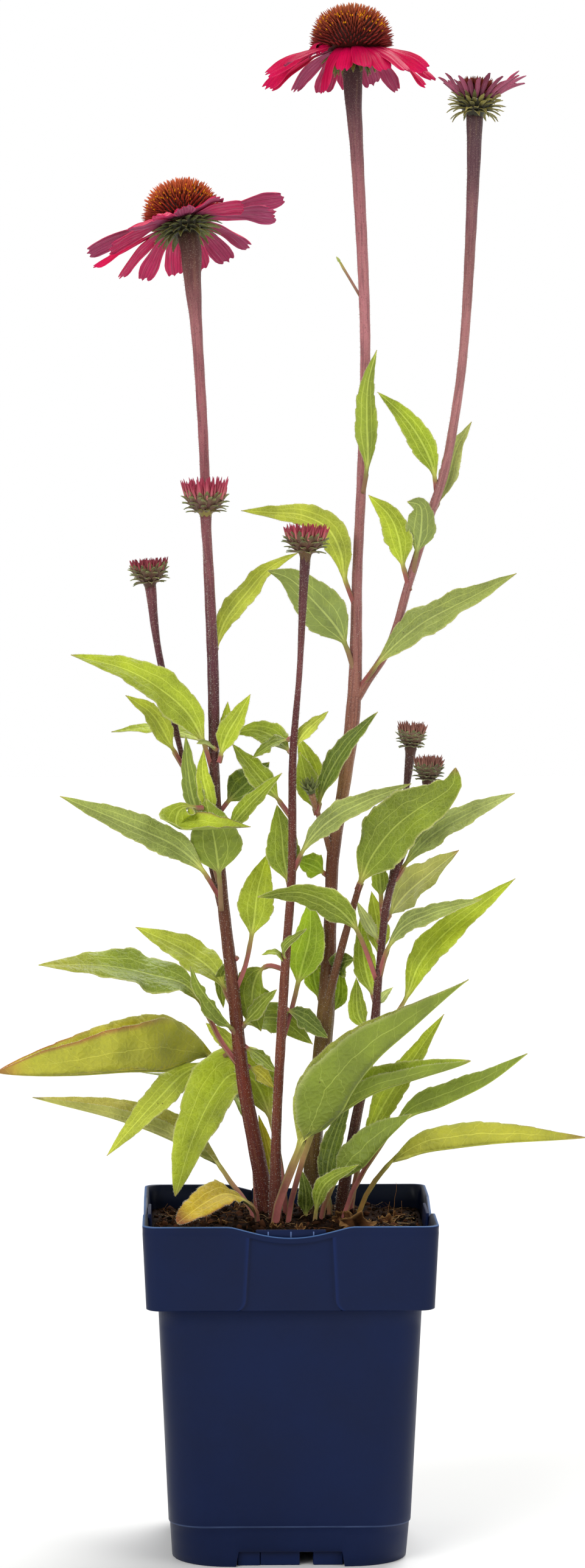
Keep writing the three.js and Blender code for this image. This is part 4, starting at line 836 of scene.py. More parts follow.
# %% The leaves of each stem
LEAVES = {}
LEAVES["stem_left"] = [
    ("pale", 13, 0.05, (-0.4, -0.8, 0.5), [(-33, 1, 404), (-28, 4, 418), (-19, 9, 430), (-8, 14, 442),
     (5, 17, 449)]),
    ("bright", 20, 0.16, (-0.2, -0.75, 0.7), [(-34, 0, 351), (-38, -6, 364), (-45, -11, 377), (-57, -15, 388),
     (-72, -19, 397), (-97, -22, 404)]),
    ("pale", 12, 0.22, (0.2, -0.8, 0.5), [(-47, 12.5, 352), (-54, 9, 364), (-61, 5, 376), (-73, 1, 385)]),
    ("bright", 12, 0.16, (0, -0.5, 0.9), [(-34, 4, 362), (-48, 22, 367), (-62, 28, 369), (-80, 33, 367)]),
    ("bright", 11, 0.12, (-0.3, -0.9, 0.2), [(-31, -4, 355), (-28, -8, 366), (-22, -11, 377),
     (-17, -13, 386)]),
    ("bright", 6, 0.16, (0, -1, 0.1), [(-31, 1, 362), (-28, 3, 372), (-27, 4, 382)]),
    ("dusky", 6, 0.16, (0, -0.5, 0.8), [(-32, -4, 361), (-37, -9, 364), (-41, -13, 364)]),
    ("mid", 11, 0.4, (0.4, 0.9, 0.1), [(-31, 1, 300), (-37, -3, 322), (-43, -4, 341), (-45, -4, 354),
     (-46, -3, 367)]),
    ("bright", 9, 0.16, (0.3, -0.9, 0.3), [(-33, -1, 324), (-36, -4, 338), (-38.5, -5, 350), (-38, -5, 361)]),
    ("fresh", 25, 0.34, (0, 0.9, 0.3), [(-30, -1, 288), (-31, -5, 304), (-33, -8, 320), (-37, -8, 339)],
     dict(fold=8)),
    ("bright", 17, 0.08, (0, -0.4, 0.9), [(-38, -8, 335), (-48, -10, 334), (-50, -15, 327), (-38, -18, 326),
     (-17, -19, 327)], dict(fold=30, cup=0.4, edge="7a5a30")),
    ("fresh", 10, 0.16, (-0.3, -0.8, 0.5), [(-29, 0, 318), (-25, -8, 327), (-16, -14, 338), (-3, -18, 351)]),
    ("deep", 16, 0.16, (0.2, -0.9, 0.3), [(-30, 3, 333), (-25, 6, 339), (-17, 11, 346), (-8, 15, 354)]),
    ("dusky", 16, 0.16, (-0.3, -0.75, 0.6), [(-31, 2, 294), (-39, -5, 307), (-50, -9, 317), (-70, -15, 327),
     (-102, -22, 341)]),
    ("bright", 17, 0.42, (0.1, -1, 0.1), [(-24, 4, 250), (-19, 2, 263), (-15.5, 2, 282), (-13.5, 4, 297),
     (-9, 7, 313)], dict(fold=10)),
    ("mid", 24, 0.3, (-0.1, -0.65, 0.8), [(-23, 4, 218), (-30, 2, 228), (-37, 0, 242), (-46, -3, 254),
     (-60, -7, 259), (-82, -12, 264), (-112, -17, 265)], dict(tip="a8a83c", tip_from=0.5)),
    ("pale", 17, 0.16, (0.2, -0.8, 0.6), [(-25, 5, 244), (-33, 13, 258), (-47, 20, 268), (-69, 27, 278)]),
    ("fresh", 13, 0.1, (-0.4, 0.5, -0.6), [(-24, 3, 232), (-33, -7, 244), (-40, -12, 254), (-44, -14, 264)],
     dict(fold=34)),
    ("pale", 8, 0.16, (0, -0.9, 0.4), [(-23, 4, 222), (-29, 6, 229), (-37, 8, 236)]),
    ("pale", 14, 0.3, (0.2, -0.7, 0.7), [(-22, 5, 226), (-26, 16, 222), (-33, 27, 216), (-46, 28, 211),
     (-60, 16, 199), (-82, 4, 176)]),
    ("mid", 11, 0.16, (-0.4, -0.6, 0.7), [(-22, 4, 234), (-15, 1, 241), (-10, 0, 247), (-5, 0, 252)]),
    ("mid", 16, 0.16, (0.1, -0.9, 0.4), [(-22, 5, 233), (-16, 17, 236), (-4, 25, 236), (12, 27, 224)]),
    ("mid", 8, 0.16, (0.2, -0.7, 0.6), [(-20, 5, 226), (-13, 2, 221), (-5, 0, 214)]),
    ("yellow", 9, 0.16, (0.2, -0.7, 0.6), [(-19, 6, 217), (-13, 8, 213), (-6, 9, 206)]),
    ("mid", 8, 0.16, (0.3, -0.9, 0.2), [(-23, 3, 266), (-27, 10, 262), (-30, 14, 252), (-29, 15, 242)]),
]
LEAVES["stem_tall"] = [
    ("bright", 11, 0.16, (-0.2, 0.9, 0.1), [(34, 9, 476), (36, 4, 490), (35.5, 2, 508), (36, 1, 525),
     (40, 3, 540)], dict(fold=30)),
    ("fresh", 12, 0.12, (-0.4, -0.8, 0.5), [(67, 2, 476), (65, 0, 488), (58, -3, 502), (50, -5, 512),
     (40, -6, 521)]),
    ("silver", 11, 0.14, (-0.5, -0.7, 0.3), [(65, 2, 467), (72, 7, 480), (76, 8, 495), (83, 8, 508)],
     dict(fold=24)),
    ("bright", 14, 0.24, (-0.4, -0.9, 0.3), [(55, 4, 432), (52, 1, 443), (50, -2, 455), (46, -4, 465),
     (36, -6, 475)]),
    ("dusky", 14, 0.26, (0, 1, 0.2), [(56.6, 3.5, 440), (57.8, -1, 449), (59.5, -6, 459), (59, -9, 470),
     (53, -14, 472)], dict(fold=12)),
    ("dusky", 19, 0.18, (-0.2, -0.75, 0.7), [(31, 9, 386), (44, 1, 403), (60, -5, 417), (80, -9, 428),
     (102, -13, 440)]),
    ("dusky", 21, 0.2, (-0.5, 0.7, 0.6), [(30, 8, 396), (24, 4, 412), (12, 1, 427), (0, 0, 438),
     (-9, -1, 441)], dict(fold=10, tip="3e2a1a", tip_from=0.93)),
    ("pale", 14, 0.14, (-0.3, -0.85, 0.5), [(30, 9, 426), (26, 6, 437), (24, 4, 449), (18, 3, 460),
     (6, 2, 466), (-6, 1, 467), (-21, 0, 468)]),
    ("deep", 12, 0.1, (-0.5, -0.7, 0.4), [(13, -1, 332), (17, -4, 346), (26, -8, 362), (40, -11, 378)],
     dict(fold=24)),
    ("fresh", 13, 0.12, (0.3, -0.9, 0.2), [(13, 0, 331), (9, 2, 344), (5.5, 4, 359)]),
    ("bright", 12, 0.16, (0, -1, 0.1), [(13, 1, 334), (11, 7, 350), (5, 10, 366)]),
    ("mid", 29, 0.06, (-0.35, -0.85, 0.4), [(31, -13, 298), (37, -20, 313), (47, -27, 327), (58, -31, 336),
     (67, -32, 341.5), (72.5, -31, 346), (74, -30, 354)], dict(fold=8, stalk_width=2.6, point=0.8,
     tip="7c5a30")),
    ("vivid", 8.5, 0.16, (0, -1, 0.1), [(18, 9, 238), (23, 14, 246), (24, 16, 262)]),
    ("deep", 12, 0.16, (0, -0.9, 0.4), [(20, 9, 257), (25, 2, 264), (30, -2, 266)]),
    ("vivid", 13, 0.16, (0.1, -0.9, 0.4), [(18, 9, 303), (12, 8, 307), (4, 7, 310)]),
    ("vivid", 10, 0.16, (0.2, -1, 0.1), [(16, 10, 243), (12, 13, 256), (13, 13, 272)]),
    ("dusky", 1.4, 0.85, (0, -1, 0.1), [(33, 10, 564), (27, 9, 574), (22, 8, 582)], dict(stalk_width=1.1,
     stem="8c6458")),
]
LEAVES["stem_middle"] = [
    ("fresh", 13, 0.24, (0.2, -0.8, 0.6), [(1, -10, 331), (-5, -6, 339), (-12, -3, 347), (-25, 1, 363)]),
    ("fresh", 13, 0.1, (0, -0.85, 0.5), [(2, -9, 359), (-8, 4, 367), (-16, 9, 369), (-25, 11, 367)]),
    ("mid", 11, 0.1, (0.1, -0.5, 0.9), [(1, -9, 366), (-7, -5, 363), (-16, -3, 357)]),
    ("pale", 9, 0.1, (-0.5, -0.7, 0.6), [(2, -10, 361), (8, -9, 369), (18, -6, 378)]),
    ("dusky", 13, 0.14, (-0.3, -0.8, 0.6), [(2, -10, 306), (8, -13, 318), (18, -17, 329), (34, -18, 338),
     (55, -15, 346)]),
    ("mid", 16, 0.08, (0, -1, 0.1), [(0.5, -9, 299), (-2, -5, 312), (-3, -4, 324), (-5, -4, 336)],
     dict(fold=8)),
    ("vivid", 17, 0.42, (-0.1, -1, 0.1), [(-3, -8, 228), (2, -4, 245), (6, -1, 261), (10, 1, 277),
     (10, 2, 293)], dict(fold=8)),
    ("fresh", 5, 0.16, (0, -0.5, 0.9), [(-1, -9, 264), (-6, -12, 270), (-12, -13, 269)],
     dict(stalk_width=1.2)),
    ("mid", 6, 0.16, (-0.4, -0.6, 0.6), [(-1, -9, 265), (-2, -14, 272), (8, -17, 281)],
     dict(stalk_width=1.2)),
    ("mid", 18, 0.3, (-0.2, -0.8, 0.4), [(-2, -8, 262), (-9, -2, 263), (-14, 6, 257), (-16, 8.5, 246),
     (-12, 8.5, 232)]),
    ("deep", 13, 0.06, (0.2, -0.7, 0.7), [(-1, -8, 244), (8, -3, 238), (18, -1, 230)]),
]
LEAVES["stem_right"] = [
    ("silver", 15, 0.12, (-0.4, -0.7, 0.6), [(48, -8, 302), (54, -9, 311), (63, -11, 321), (80, -15, 332),
     (101, -20, 342)]),
    ("straw", 19, 0.08, (-0.3, 0.9, 0.4), [(44, -8, 284), (52, 2, 294), (63, 8, 303), (78, 13, 314)],
     dict(tip="a8503a", tip_from=0.9)),
    ("dusky", 12, 0.24, (-0.3, -0.7, 0.7), [(41, -8, 258), (44, -13, 270), (51, -17, 281), (64, -21, 288),
     (86, -26, 295)]),
    ("bright", 16, 0.28, (-0.5, -0.8, 0.3), [(38, -8, 221), (46, -6, 236), (54, -5, 250), (59, -6, 263),
     (69, -7, 276), (83, -9, 288), (102, -11, 303)]),
    ("mid", 16, 0.34, (0.1, -0.75, -0.6), [(40, -8, 256), (35, -12, 270), (29, -17, 283), (20, -21, 292),
     (5, -23, 298), (-14, -24, 296)]),
    ("fresh", 9, 0.16, (0, -1, 0.1), [(38, -8, 232), (32, -1, 240), (31, 3, 257)]),
    ("fresh", 11, 0.1, (0, -1, 0.2), [(39, -7, 247), (35, 4, 262), (33, 8, 284)]),
    ("silver", 6, 0.16, (0, -0.8, 0.6), [(42, -8, 272), (36, -3, 282), (31, 1, 292)], dict(stalk_width=1.4)),
    ("mid", 8.5, 0.5, (0, -1, 0.1), [(43, -8, 278), (42, -2, 294), (41, 0, 312)]),
    ("bright", 11, 0.2, (0, -1, 0.1), [(41, -7, 262), (41, 3, 278), (38, 6, 296)]),
    ("silver", 4, 0.16, (0, -1, 0.2), [(39, -7, 244), (43, -9, 250), (47, -11, 254)], dict(stalk_width=1.2)),
]
for name, rows in LEAVES.items():
    skin = Skin()
    for look, wide, stalk, face, way, *habits in rows:
        leaf(skin, look, wide, stalk, face, way, **dict(*habits))
    add_piece(name + "_leaves", skin, leaf_green, [name])

# %% [markdown]
# ## Leaves that rise from the soil
# These stand on long stalks of their own, so each is a piece of its own, as it is in the frame. Its
# row begins with the place where it leaves the soil and its radius there. The oldest ones are
# yellow, and one is dying over the rim of the pot.

# %% The leaves from the soil
SOIL_LEAVES = {
    "leaf_broad_front": ((-6, -20, 2.4), "fresh", 22, 0.34, (0.1, -0.95, 0.2), [(-2, -22, 165), (5, -26, 184),
        (10, -29, 200), (18, -34, 216), (32, -39, 231), (52, -42, 244), (79, -45, 261)], dict(fold=10,
        widest=0.24, point=1.3, near=0.95, edge="9a9a40")),
    "leaf_long_front": ((0, -15, 1.6), "fresh", 13, 0.42, (0, -0.9, 0.35), [(5, -16, 172), (11, -18, 190),
        (19, -21, 203), (34, -25, 213), (56, -28, 219), (81, -30, 223)], dict(near=0.55, widest=0.3,
        point=0.7)),
    "leaf_right_rising": ((25, -13, 1.4), "fresh", 10, 0.5, (-0.2, -0.9, 0.35), [(31, -12, 166),
        (42, -10, 183), (55, -9, 199), (69, -12, 206), (88, -16, 214), (107, -20, 225)], dict(near=0.92)),
    "leaf_right_level": ((32, -6, 1.4), "yellow", 11, 0.34, (0, -0.9, 0.35), [(40, -7, 167), (51, -8, 178),
        (64, -10, 185), (90, -14, 188.5), (134, -20, 187)], dict(near=0.96, tip="96543a", tip_from=0.84,
        edge="a8783c", stem="a47a3c")),
    "leaf_right_small": ((15, -11, 1.4), "mid", 14, 0.46, (-0.3, -0.85, 0.4), [(23, -14, 170), (31, -17, 181),
        (41, -20, 190), (55, -22, 198)], dict(near=0.93)),
    "leaf_right_back": ((29, 9, 1.4), "bright", 14, 0.42, (-0.5, -0.8, 0.2), [(34, 11, 176), (43, 11, 196),
        (52, 10, 211), (61, 8, 225), (71, 6, 240)]),
    "leaf_centre_dark": ((19, 3, 1.4), "deep", 11, 0.4, (-0.4, -0.9, 0.1), [(18, 3, 170), (22, 4, 186),
        (29, 4, 204)]),
    "leaf_left_broad": ((-14, 16, 1.6), "yellow", 26, 0.45, (0, -1, 0.15), [(-16, 24, 185), (-23, 34, 208),
        (-36, 36, 218), (-50, 25, 225), (-70, 5, 227), (-98, -10, 223), (-131, -18, 217)], dict(fold=12,
        widest=0.3, point=0.8, near=0.86, wave=0.16, tip="b0582c", tip_from=0.86, edge="b0502c")),
    "leaf_left_drooping": ((-1, 1, 1.5), "bright", 27, 0.42, (-0.2, -0.8, 0.5), [(-4, 6, 176), (-9, 14, 196),
        (-16, 19, 209), (-25, 19, 211), (-34, 15, 201), (-43, 7, 183), (-51, 0, 158)], dict(fold=42,
        widest=0.3, point=0.8)),
    "leaf_left_low": ((-16, -5, 1.4), "straw", 13, 0.34, (0, -0.9, 0.35), [(-25, 2, 163), (-36, 14, 176),
        (-51, 22, 187), (-76, 23, 195), (-116, 18, 201)], dict(near=0.42, tip="6a3c22", tip_from=0.93)),
    "leaf_left_back": ((-6, 18, 1.4), "mid", 15, 0.45, (0, 0.1, 1), [(-12, 28, 180), (-28, 41, 202),
        (-48, 45, 206), (-68, 48, 209)]),
    "leaf_dying": ((-14, -15, 1.4), "dying", 15, 0.42, (0.1, -0.7, 0.6), [(-17, -21, 157), (-29, -42, 165),
        (-38, -55, 163), (-50, -67, 156)], dict(fold=24, widest=0.5, point=0.5, tip="7a3a1c", tip_from=0.8,
        edge="8a4a22", dry=0.05)),
    "leaf_base_upright": ((8, -4, 1.2), "deep", 8, 0.5, (0, -1, 0.2), [(8, -8, 160), (6, -9, 171)]),
    "leaf_base_right": ((12, -17, 1.2), "mid", 9, 0.45, (-0.3, -0.8, 0.5), [(16, -22, 166), (31, -27, 176)]),
    "leaf_base_yellow": ((-3, 13, 1.2), "yellow", 8, 0.5, (0, -1, 0.1), [(-8, 14, 172), (-13, 15, 193)]),
}
for name, ((x, y, radius), look, wide, stalk, face, way, *habits) in SOIL_LEAVES.items():
    skin = Skin()
    way = [(x, y, HOLE_FOOT), (x, y, HOLE_HEAD), *way]
    leaf(skin, look, wide, stalk, face, way, stalk_width=1.5 * radius, **dict(*habits))
    add_piece(name + "_blade", skin, leaf_green, [name])

# %% [markdown]
# ## Hairs
# The stems are rough with short pale bristles. Hair curves would be simplest, but they are not part
# of a mesh, so each bristle is a thin three-sided spike, and thousands of them are laid in one go
# from the same template.

# %% Bristles on the stems
BRISTLES_FROM = 150  # mm, just clear of the soil
BRISTLES = 15  # on a millimetre of stem
for name, lines in stalks.items():
    skin = Skin()
    for line, radius, side, front in lines:
        clear = line[:, 2] > BRISTLES_FROM
        line, radius, side, front = line[clear], radius[clear], side[clear], front[clear]
        count = int(run_along(line)[-1] * BRISTLES)
        row = chance.integers(0, len(line), count)
        turn = chance.uniform(0, FULL_TURN, count)
        away = np.cos(turn)[:, None] * side[row] + np.sin(turn)[:, None] * front[row]
        roots = line[row] + away * radius[row, None] * 0.97
        roots += np.array([0, 0, 1]) * chance.uniform(-1.1, 1.1, count)[:, None]
        way = unit(away + [0, 0, 0.35] + chance.normal(0, 0.25, (count, 3)))
        paler = blend(colour("e8dece"), colour("b8a494"), step(roots[:, 2], 420, 520)[:, None])
        bristles(skin, roots, way, chance.uniform(0.35, 1.0, count), 0.052, np.repeat(paler, 4, 0))
    add_piece(name + "_bristles", skin, hair_tissue)

# %% [markdown]
# ## Flower heads
# A coneflower's head is built in its own frame, with its foot at the origin and +Z along the stem,
# then turned onto the stem. From the outside in it has rows of green bracts, one ring of petals, and
# a cone of stiff spikes set in the two-way spiral that sunflowers show. The golden angle gives that
# spiral with one number.

# %% A head's frame, and strips that arch out of it
GOLDEN = math.pi * (3 - math.sqrt(5))


def head_frame(at, axis):
    """Two functions that take points and directions from a head's own frame onto the plant."""
    x, y, z = unit(axis)
    skewed = np.array([[0, 0, x], [0, 0, y], [-x, -y, 0]])
    turn = np.eye(3) + skewed + skewed @ skewed / (1 + z)
    move = lambda points: np.asarray(points) @ turn.T + np.array(at, float)
    aim = lambda ways: np.asarray(ways) @ turn.T
    return move, aim


ARCH_STEPS = 40


def arch(angle, radius, height, length, rise, fall):
    """A strip's centre: it leaves at a radius and height, and its slope goes from rise to fall."""
    slope = np.radians(rise + (fall - rise) * (np.arange(ARCH_STEPS) + 0.5) / ARCH_STEPS)
    r = radius + np.r_[0, np.cumsum(np.cos(slope))] * length / ARCH_STEPS
    z = height + np.r_[0, np.cumsum(np.sin(slope))] * length / ARCH_STEPS
    c, s = math.cos(angle), math.sin(angle)
    slope = np.r_[slope, slope[-1]]
    heading = np.stack([np.cos(slope) * c, np.cos(slope) * s, np.sin(slope)], -1)
    side = np.broadcast_to([-s, c, 0.0], heading.shape)
    return np.stack([r * c, r * s, z], -1), heading, side


def torn(across, depth):
    """How far a tip is cut back over its width: three teeth with two ragged notches between them."""
    cuts = depth * chance.uniform([0.9, 0.0, 0.6, 0.0, 0.6, 0.0, 0.9], [1.5, 0.5, 1.5, 0.2, 1.5, 0.5, 1.5])
    slant = depth * chance.uniform(-0.7, 0.7)
    return np.interp(across, [-1, -0.7, -0.36, 0, 0.36, 0.7, 1], cuts) + slant * across + abs(slant)


def strip(skin, frame_of, angle, radius, height, length, wide, rise, fall, twist, profile, section,
          tint, rows=20, columns=9, notch=0.0, thick=0.3, sway=0.0, ripple=0.0):
    """A petal or a bract. profile: half width along it; section: height across it, in half widths."""
    move, aim = frame_of
    line, heading, side = arch(angle, radius, height, length, rise, fall)
    reach = np.linspace(0, 1, len(line))
    line = line + side * (sway * length * reach ** 2)[:, None]
    turn = np.radians(twist) * reach[:, None]
    out = np.cross(heading, side)
    side, out = side * np.cos(turn) + out * np.sin(turn), out * np.cos(turn) - side * np.sin(turn)
    across = np.sin(np.linspace(-1, 1, columns) * np.pi / 2)
    s = 1 - (1 - np.linspace(0, 1, rows)) ** 1.3
    lobes = torn(across, notch) if notch else 0 * across
    shares = s[:, None] * (1 - lobes / length * step(s, 0.55, 1.0)[:, None])
    half = np.maximum(wide / 2 * profile(s)[:, None] * np.ones(columns), 0.05)
    lift = half * section(across, s[:, None])
    if ripple:
        first, second = chance.uniform(0, 2 * np.pi, 2)
        waves = across * np.sin(6.0 * s[:, None] + first)
        waves = waves + 0.5 * np.sin(9.0 * s[:, None] + 2 * across + second)
        lift += ripple * step(s, 0.1, 0.6)[:, None] * waves
    depth = thick * (1 - 0.55 * across ** 2) * np.ones_like(half)
    tints = tint(s, across)
    blade(skin, move(line), aim(out), aim(side), shares, across * half, lift, depth, across, tints)


print("golden angle:", round(math.degrees(GOLDEN), 2), "degrees")

# %% Spikes, turned bodies and down on a head
SPIKE_RISE = np.array([0.0, 0.35, 0.7, 0.92, 1.0])
SPIKE_GIRTH = np.array([1.0, 0.9, 0.62, 0.3, 0.04])
SPIKE_FACES = tube_faces(len(SPIKE_RISE), 5)


def spikes(skin, frame_of, feet, ways, lengths, wides, low, high):
    """Stiff five-sided spikes, with their colours at the foot and the tip, in the head's own frame."""
    move, _ = frame_of
    for foot, way, length, wide, dark, bright in zip(feet, unit(ways), lengths, wides, low, high):
        side = unit(np.cross(way, [0.2, 0.1, 1.0]))
        round_it = circle(side[None], np.cross(way, side)[None], 5)
        centre = foot + way * (SPIKE_RISE * length)[:, None]
        rings = centre[:, None] + (SPIKE_GIRTH * wide)[:, None, None] * round_it
        tint = np.repeat(blend(dark, bright, SPIKE_RISE ** 0.6), 5, 0)
        skin.add(move(rings.reshape(-1, 3)), SPIKE_FACES, tint)


def lathe(skin, frame_of, profile, tint, sides=28):
    """A plain turned body under the bracts or the spikes, marked as lying far from any rib."""
    move, _ = frame_of
    turn = FULL_TURN * np.arange(sides) / sides
    rings = [[(r * math.cos(a), r * math.sin(a), z) for a in turn] for r, z in profile]
    skin.add(move(np.array(rings).reshape(-1, 3)), tube_faces(len(profile), sides), tint, *FAR_FROM_RIBS)


def fuzz(name, skin, frame_of, count):
    """Pale hairs on points of a green piece, pointing away from the head's axis."""
    move, aim = frame_of
    points = np.vstack(skin.points)
    roots = points[chance.integers(0, len(points), count)]
    axis = aim(np.array([[0, 0, 1.0]]))[0]
    away = roots - move(np.zeros((1, 3)))
    away = unit(away - (away @ axis)[:, None] * axis * 0.9)
    way = unit(away + chance.normal(0, 0.4, (count, 3)))
    hairs = Skin()
    bristles(hairs, roots, way, chance.uniform(0.4, 1, count) * 0.9, 0.045, colour("b4b088"))
    add_piece(name + "_hairs", hairs, hair_tissue)


print("a spike has", sum(map(len, SPIKE_FACES)), "faces")

# %% [markdown]
# ## The cone
# Each spike stands on a dome and leans a little towards the axis. Their colour tells their age: dark
# maroon and green where the small florets are still shut, fiery orange at the tips of the open ones,
# with yellow pollen in a ring that moves up the cone as it ripens.

# %% Spikes of a cone
def on_ball(polar, angle):
    """Points on a ball, by the angle down from its top and the angle round it."""
    return np.stack([np.sin(polar) * np.cos(angle), np.sin(polar) * np.sin(angle), np.cos(polar)], -1)


def cone_spikes(skin, frame_of, rim, foot, dome, length, count, lean, wide, foot_paint, tip_paints,
                pollen=None):
    """Spikes over a dome, and pollen dots as (angle down from the top, number, paint)."""
    number = np.arange(count)
    polar = np.arccos(1 - (number + 0.5) / count * 1.12)
    ball = on_ball(polar, number * GOLDEN)
    seat = np.array([0, 0, foot + 0.1 * dome])
    feet = ball * [rim, rim, 0.9 * dome] + seat
    ways = unit(ball * [1, 1, 0.9] + [0, 0, lean] + chance.normal(0, 0.06, (count, 3)))
    lengths = length * chance.uniform(0.85, 1.1, count) * (0.75 + 0.25 * step(polar, 0.2, 0.9))
    wides = wide * chance.uniform(0.85, 1.15, count)
    crown, middle, base = (colour(code) for code in tip_paints)
    share = polar / 1.7
    bright = blend(blend(crown, middle, step(share, 0.1, 0.5)), base, step(share, 0.5, 0.95))
    bright = bright * chance.uniform(0.7, 1.3, (count, 1))
    spikes(skin, frame_of, feet, ways, lengths, wides, np.tile(colour(foot_paint), (count, 1)), bright)
    if pollen:
        band, dots, code = pollen
        turn = chance.uniform(0, FULL_TURN, dots)
        ball = on_ball(np.clip(chance.normal(band, 0.17, dots), 0.15, 1.6), turn)
        out = length * 0.55
        feet = ball * [rim + out, rim + out, 0.9 * dome + out] + seat
        paints = np.tile(colour(code), (dots, 1)) * chance.uniform(0.7, 1.2, (dots, 1))
        long, thick = np.full(dots, 1.0), np.full(dots, 0.33)
        spikes(skin, frame_of, feet, ball + [0, 0, 0.4], long, thick, paints, paints)


def core(skin, frame_of, rim, foot, dome, code):
    """The dome that the spikes stand on."""
    profile = [(rim * 0.5, foot - 1), (rim * 0.85, foot - 0.6)]
    polar = np.linspace(0.05, np.pi / 2, 9)[::-1]
    profile += [(rim * math.sin(p), foot + dome * (0.1 + 0.9 * math.cos(p))) for p in polar]
    lathe(skin, frame_of, profile, colour(code))


print("spikes on a cone of 680 have", 680 * sum(map(len, SPIKE_FACES)), "faces")

# %% [markdown]
# ## Bracts and petals
# The bracts are small hairy leaves in rows that curl back. The petals hang from the ring above them;
# those at the back hide behind the cone, so their lengths and slopes were set one by one to give
# each bloom its own gesture.

# %% Rows of bracts
def bract_profile(s):
    """Half width along a bract."""
    return np.clip(np.where(s < 0.3, 0.75 + 0.25 * s / 0.3, 1 - ((s - 0.3) / 0.7) ** 1.6), 0.03, 1)


def bract_rows(skin, frame_of, rows, shades, greening=(0.0, 0.55)):
    """Rows of (count, radius, height, length, width, rise, fall); shades of foot, body and margin.

    greening: where along a bract the shade of its foot turns into the shade of its body.
    """
    foot, dark, pale = (colour(code) for code in shades)

    def tint(green, s, across):
        rim = (step(np.abs(across), 0.8, 1.0) * 0.5)[None, :] * np.ones((len(s), 1))
        return 2 * [blend(blend(foot, green, step(s, *greening))[:, None], pale * 1.25, rim)]

    for number, (count, radius, height, length, wide, rise, fall) in enumerate(rows):
        for k in range(count):
            angle = 2 * np.pi * (k + 0.5 * (number % 2)) / count + chance.normal(0, 0.05)
            green = blend(dark, pale, chance.uniform(0, 1))
            strip(skin, frame_of, angle, radius, height, length * chance.uniform(0.85, 1.12), wide,
                  rise + chance.normal(0, 5), fall + chance.normal(0, 9), chance.normal(0, 10),
                  bract_profile, lambda across, s: 0.3 * across ** 2, partial(tint, green),
                  rows=7, columns=5, thick=0.35, sway=chance.normal(0, 0.05))


print("half width of a bract half way up:", bract_profile(0.5).round(2))

# %% The petals of a bloom
def petal_profile(s):
    """Half width along a petal."""
    return np.interp(s, [0, 0.12, 0.35, 0.75, 0.93, 1], [0.42, 0.6, 0.86, 1.0, 0.9, 0.74])


def petal_section(across, s):
    """Height across a petal: it arches, with shallow furrows between the ribs."""
    return -0.2 * across ** 2 + 0.08 * np.cos(3 * np.pi * across) * step(s, 0.1, 0.4)


def petal_tints(paints):
    """Colours of a petal's top and back, along and across it, with painted light: each petal is painted its
    own lightness, its back is darker at the foot and is painted towards a lit colour by a chance amount, and
    its margins get a painted highlight.
    """
    foot, top, tip, back, painted_light = (colour(code) for code in paints)

    def tint(s, across):
        shade, glow = chance.uniform(0.85, 1.12), chance.uniform(0, 1) ** 1.5
        along = blend(blend(foot, top, step(s, 0.0, 0.3)), tip, step(s, 0.75, 1.0) * 0.5)
        below = blend(back * 0.75, blend(back, painted_light, glow), step(s, 0.0, 0.35))
        # Painted highlight: both faces are painted lighter along the margins.
        rim = (step(np.abs(across), 0.86, 1.0) * 0.35)[None, :] * np.ones((len(s), 1))
        return [blend(side[:, None], side[:, None] * 1.5 + 0.03, rim) * shade for side in (along, below)]

    return tint


def petals(skin, frame_of, rows, inner, foot, paints):
    """Rows of (degrees round the head, length, width, rise, fall, twist), and the ring they hang from."""
    for degrees, length, wide, rise, fall, twist in rows:
        start = foot + chance.uniform(-0.5, 0.5)
        lean = chance.normal(0, 4, 2)
        strip(skin, frame_of, math.radians(degrees), inner - 1, start, length, wide * 1.06, rise + lean[0],
              fall + lean[1], twist + chance.normal(0, 8), petal_profile, petal_section, petal_tints(paints),
              rows=26, columns=15, notch=2.2, thick=0.4, sway=chance.normal(0, 0.03), ripple=0.5)
    ring = [(inner - 2, foot - 1.2), (inner - 0.6, foot - 0.6), (inner - 0.6, foot + 0.2)]
    lathe(skin, frame_of, ring, colour("4a3a28"))


LEFT_PETALS = [
    (4, 39, 10, 3, -3, -38), (20, 37, 10, 3, -12, -36), (44, 33, 9, -8, -34, 4), (63, 31, 10, -12, -42, 0),
    (84, 30, 11, -14, -46, 4), (106, 31, 11, -14, -48, -8), (127, 33, 9, -12, -44, 12),
    (148, 34, 9, -10, -40, 0), (166, 38, 10, -4, -26, -40), (188, 38, 9.5, -4, -28, 44),
    (206, 34, 9, -4, -26, 34), (226, 29, 9, -2, -18, 14), (248, 26, 9, -2, -12, -8), (272, 25, 9.5, 0, -8, 6),
    (296, 28, 8, 0, -10, -10), (313, 33, 10.5, -5, -26, -50), (333, 38, 11, -12, -22, -58),
]
TALL_PETALS = [
    (4, 34, 9.5, -10, -46, 42), (25, 33, 9.5, -12, -52, 38), (48, 31, 9, -14, -60, 10),
    (70, 29, 9.5, -16, -66, 0), (92, 28, 10, -16, -66, -6), (114, 30, 9.5, -16, -64, 8),
    (136, 33, 9, -14, -54, 0), (157, 35, 9.5, -12, -50, -40), (177, 37, 9.5, -10, -46, -46),
    (196, 36, 10, -8, -44, -42), (215, 32, 9, -6, -36, 6), (238, 31, 7.5, -26, -72, 28),
    (259, 20, 7.5, -26, -64, -20), (281, 23, 9, -20, -58, 14), (299, 25, 9, -16, -52, 8),
    (316, 30, 9.5, -10, -42, -6), (333, 32, 9.5, -10, -42, 36),
]
print("petals:", len(LEFT_PETALS), "and", len(TALL_PETALS))
